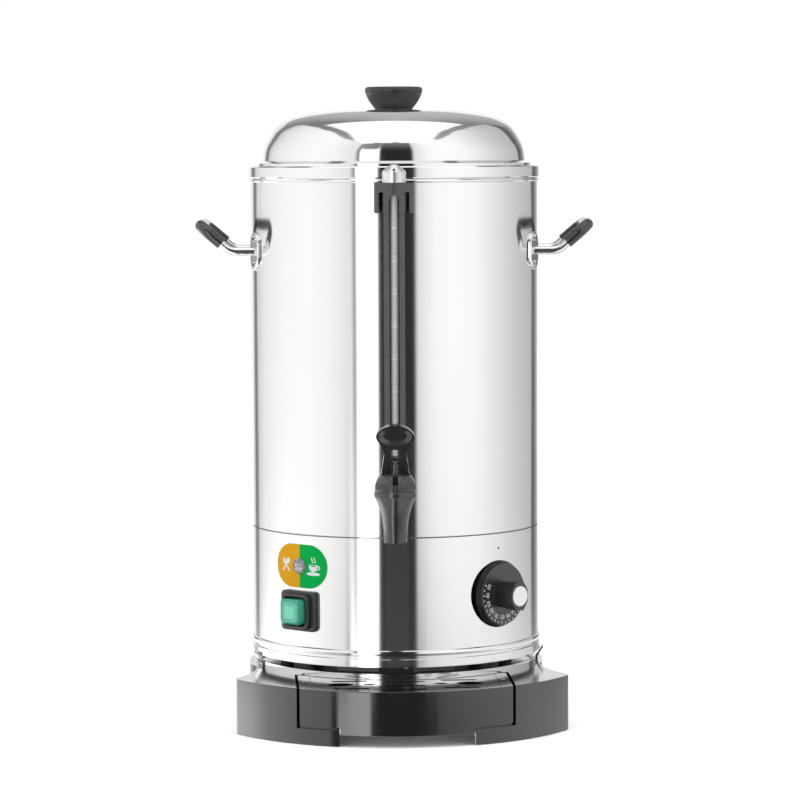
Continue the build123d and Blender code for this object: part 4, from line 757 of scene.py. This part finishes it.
def arc(centre, radii, start, end, count):
    """Points along an ellipse's arc, angles in degrees."""
    steps = [math.radians(start + (end - start) * i / (count - 1)) for i in range(count)]
    return [(centre[0] + radii[0] * math.cos(s), centre[1] + radii[1] * math.sin(s)) for s in steps]


def turned(points, degrees, shift=(0.0, 0.0)):
    """Points turned about the origin, then shifted."""
    c, s = math.cos(math.radians(degrees)), math.sin(math.radians(degrees))
    return [(x * c - y * s + shift[0], x * s + y * c + shift[1]) for x, y in points]


def box_loop(width, height, middle=(0.0, 0.0)):
    """Rectangle as a loop."""
    w, h = width / 2, height / 2
    return [(middle[0] + x, middle[1] + y) for x, y in ((-w, -h), (w, -h), (w, h), (-w, h))]


def ink(name, colour, roughness):
    """Printed ink, a little uneven in tone."""
    material, tree, shader = start_finish(name, IOR=1.5)
    speckle = noise(tree, place(tree), 1800.0, detail=3.0)
    darker = tuple(0.86 * c for c in colour)
    tree.links.new(tint(tree, speckle, darker, colour), shader.inputs["Base Color"])
    tree.links.new(between(tree, speckle, roughness * 0.8, roughness * 1.2), shader.inputs["Roughness"])
    return material


GAUGE_TOP_MARK_Z = 445.0
GAUGE_PITCH = 28.3
GAUGE_COUNTS = (90, 80, 70, 60, 50, 40, 30, 20)
GAUGE_BAR = (7.0, 1.9)
GAUGE_NUMBER_SIZE = 5.4
GAUGE_NUMBER_RISE = 3.0             # middle of a number above its bar
GAUGE_SLICE = 0.4                   # width of the strips that bend round the tube


def gauge_print(white):
    """Cup counts on the sight tube, each with a bar under it."""
    parts = []
    for index, count in enumerate(GAUGE_COUNTS):
        z = GAUGE_TOP_MARK_Z - index * GAUGE_PITCH
        bar = flat_mesh([box_loop(*GAUGE_BAR)], INK_T)
        parts.append((bar, GAUGE_SLICE, on_cylinder(TUBE_R + INK_T, 0, z, TUBE_Y)))
        number = text_mesh(str(count), GAUGE_NUMBER_SIZE, INK_T)
        parts.append((number, GAUGE_SLICE, on_cylinder(TUBE_R + INK_T, 0, z + GAUGE_NUMBER_RISE, TUBE_Y)))
    gather("gauge_marks", parts, white, "urn")


DIAL_NUMBERS = range(30, 111, 10)
DIAL_FIRST = 157.0                  # place of the first number, anticlockwise from the right
DIAL_STEP = 21.5
DIAL_NUMBER_R = 20.0
DIAL_NUMBER_SIZES = {2: 5.4, 3: 4.6}    # by the number of digits
DIAL_TICK_R = 25.8                  # outer end of the ticks
DIAL_TICK_WIDTH = 0.8
DIAL_TICKS = ((0, 2.4), (DIAL_STEP / 2, 1.5))   # turn from the number, and length, of its two ticks


def dial_print(white):
    """Temperatures round the dial's face, with ticks at its rim."""
    parts = []
    for index, number in enumerate(DIAL_NUMBERS):
        turn = DIAL_FIRST + index * DIAL_STEP - 90
        words = text_mesh(str(number), DIAL_NUMBER_SIZES[len(str(number))], INK_T)
        face = on_face(DIAL_AZIMUTH, DIAL_Z, DIAL_FACE + INK_T / 2, turn, (0, DIAL_NUMBER_R))
        parts.append((words, 0, face))
        for step, length in DIAL_TICKS:
            if step and index == len(DIAL_NUMBERS) - 1:
                continue
            tick = flat_mesh([box_loop(DIAL_TICK_WIDTH, length, (0, -length / 2))], INK_T)
            rim = on_face(DIAL_AZIMUTH, DIAL_Z, DIAL_FACE + INK_T / 2, turn + step, (0, DIAL_TICK_R))
            parts.append((tick, 0, rim))
    gather("dial_marks", parts, white, "dial")


DOT_R = 1.1
DOT_SLICE = 0.5


def dial_index(red):
    """Small red dot on the wall above the dial."""
    dot = flat_mesh([arc((0, 0), (DOT_R, DOT_R), 0, 345, 24)], INK_T)
    skin = on_cylinder(WALL_R + INK_T / 2, DIAL_AZIMUTH, DOT_Z)
    gather("dial_index", [(dot, DOT_SLICE, skin)], red, "urn")


# outlines about the middle of each sign, in millimetres
FORK = [
    (-0.75, -7.0), (0.75, -7.0), (0.7, 0.5), (2.1, 1.9), (2.1, 6.6), (1.3, 6.6), (1.3, 3.2), (0.42, 3.2),
    (0.42, 6.6), (-0.42, 6.6), (-0.42, 3.2), (-1.3, 3.2), (-1.3, 6.6), (-2.1, 6.6), (-2.1, 1.9), (-0.7, 0.5),
]
SPOON = [(-0.75, -7.0), (0.75, -7.0), (0.7, 1.4)] + arc((0, 4.0), (2.2, 3.0), -62, 242, 22) + [(-0.7, 1.4)]
CUTLERY_TURN = 38.0
CUTLERY_SPOT = (-17.0, 0.4)         # middle of the crossed cutlery, from the lamp
CUP_X = 15.2                        # middle of the cup, from the lamp
CUP_DROP = 1.0                      # the cup's body sits this far below the lamp's level
CUP_HANDLE = (CUP_X + 5.0, -0.6)
STEAM_X = (-1.6, 1.2)               # left edge of each wisp, from the cup's middle
STEAM_WIDTH = 1.0
LABEL_SLICE = 1.0


def label_print(white):
    """Crossed cutlery left of the lamp and a steaming cup right of it."""
    skin = on_cylinder(LABEL_SKIN_R + INK_T / 2, LAMP_AZIMUTH, LAMP_Z)
    cup_body = [(-4.8, 2.9)] + arc((0, 2.4), (4.6, 6.0), 180, 360, 19) + [(4.8, 2.9)]
    mouth = arc((CUP_X, 0.9), (3.3, 0.6), 0, 345, 20)
    shapes = [
        [turned(FORK, CUTLERY_TURN, CUTLERY_SPOT)],
        [turned(SPOON, -CUTLERY_TURN, CUTLERY_SPOT)],
        [turned(cup_body, 0, (CUP_X, -CUP_DROP)), mouth],
        [arc(CUP_HANDLE, (2.3, 2.0), 0, 345, 22), arc(CUP_HANDLE, (1.2, 1.0), 0, 345, 22)],
        [arc((CUP_X, -6.2), (7.2, 1.5), 0, 345, 26)],       # saucer
    ]
    for x in STEAM_X:
        left = [(CUP_X + x + 0.7 * math.sin(s * 1.6), 3.4 + s * 1.25) for s in range(5)]
        right = [(px + STEAM_WIDTH, py) for px, py in reversed(left)]
        shapes.append([left + right])
    parts = [(flat_mesh(loops, INK_T), LABEL_SLICE, skin) for loops in shapes]
    gather("label_icons", parts, white, "urn")


LENS_RIM = (0.9, 1.9)               # distances of the ring's two edges from the lens's edge


def lamp_rim(dark):
    """Dull ring round the lamp's lens."""
    loops = [arc((0, 0), (LENS_R - inset, LENS_R - inset), 0, 350, 36) for inset in LENS_RIM]
    face = on_face(LAMP_AZIMUTH, LAMP_Z, LENS_FACE + INK_T / 2)
    gather("lamp_rim", [(flat_mesh(loops, INK_T), 0, face)], dark, "urn")


def rounded_loop(width, height, corner):
    """Rectangle with round corners as a loop."""
    points = []
    for sx, sy, start in ((1, 1, 0), (-1, 1, 90), (-1, -1, 180), (1, -1, 270)):
        middle = (sx * (width / 2 - corner), sy * (height / 2 - corner))
        points += arc(middle, (corner, corner), start, start + 90, 7)
    return points


# side and height of the two steps on the button, and their corners' radius over their side
PANE_SIDE = 18.0
PANE_RISE = 0.1
CORE_SIDE = 11.5
CORE_RISE = 0.2
BUTTON_CORNER = 0.24


def button_window():
    """Two raised steps of the lit button's diffuser."""
    pane = clear_plastic("green_pane", (0.16, 0.66, 0.47), 0.1, 0.2)
    core = clear_plastic("green_core", (0.22, 0.82, 0.58), 0.1, 0.1)
    face = on_face(BUTTON_AZIMUTH, BUTTON_Z, BUTTON_FACE)
    for name, side, rise, finish in (
        ("button_pane", PANE_SIDE, PANE_RISE, pane),
        ("button_core", CORE_SIDE, CORE_RISE, core),
    ):
        plate = flat_mesh([rounded_loop(side, side, BUTTON_CORNER * side)], 2 * rise)
        gather(name, [(plate, 0, face)], finish, "rocker")


# length and width of each cross recess's bars
HANDLE_CROSS = (3.4, 0.8)
TRAY_CROSS = (2.2, 0.5)
BASE_CROSS = (3.6, 0.8)


def cross_loop(length, width):
    """Cross of two bars as one loop."""
    quarter = [(length / 2, -width / 2), (length / 2, width / 2), (width / 2, width / 2)]
    return [point for step in range(4) for point in turned(quarter, 90 * step)]


def on_level(x0, y0, height):
    """Bend that lays a flat shape level, centred on a point of the base's plan."""
    c, s = math.cos(math.radians(BASE_TURN)), math.sin(math.radians(BASE_TURN))

    def bend(x, y, z):
        u, v = x0 + x, y0 + y
        return (u * c - v * s, u * s + v * c, height + z)

    return bend


def screw_recesses(dark):
    """Painted shade of the cross recesses in the heads of the screws that can be seen: flat dark crosses."""
    on_wall = []
    for turn, azimuth in enumerate(HANDLE_SCREW_AZIMUTHS):
        for height in HANDLE_SCREW_HEIGHTS:
            cross = flat_mesh([turned(cross_loop(*HANDLE_CROSS), 25 * turn + height)], INK_T)
            on_wall.append((cross, 0, on_face(azimuth, height, HANDLE_SCREW_R)))
    gather("handle_screw_recesses", on_wall, dark, "urn")
    on_tray = []
    for side in (-1, 1):
        cross = flat_mesh([turned(cross_loop(*TRAY_CROSS), 20 * side)], INK_T)
        on_tray.append((cross, 0, on_level(side * TRAY_SCREW_X, TRAY_SCREW_Y, TRAY_SCREW_Z)))
    gather("tray_screw_recesses", on_tray, dark, "tray")
    under = []
    for azimuth in BASE_SCREW_AZIMUTHS:
        turn = math.radians(azimuth)
        spot = (BASE_SCREW_R * math.sin(turn), -BASE_SCREW_R * math.cos(turn))
        cross = flat_mesh([turned(cross_loop(*BASE_CROSS), azimuth)], INK_T)
        under.append((cross, 0, on_level(*spot, BASE_SCREW_Z)))
    gather("base_screw_recesses", under, dark, "base")


def add_details():
    """Everything that the scene adds to the CAD nodes."""
    white = ink("white_ink", (0.82, 0.82, 0.84), 0.4)
    gauge_print(white)
    dial_print(white)
    dial_index(ink("red_ink", (0.35, 0.03, 0.04), 0.4))
    label_print(white)
    button_window()
    # dark crosses painted as the shade inside the screw recesses
    screw_recesses(ink("recess_painted_shade", (0.015, 0.015, 0.016), 0.6))
    lamp_rim(ink("rim_grey", (0.16, 0.17, 0.17), 0.4))


make_camera()
make_studio()
make_floor()
dress_nodes()
add_details()

scene = bpy.context.scene
scene.view_settings.view_transform = "Standard"
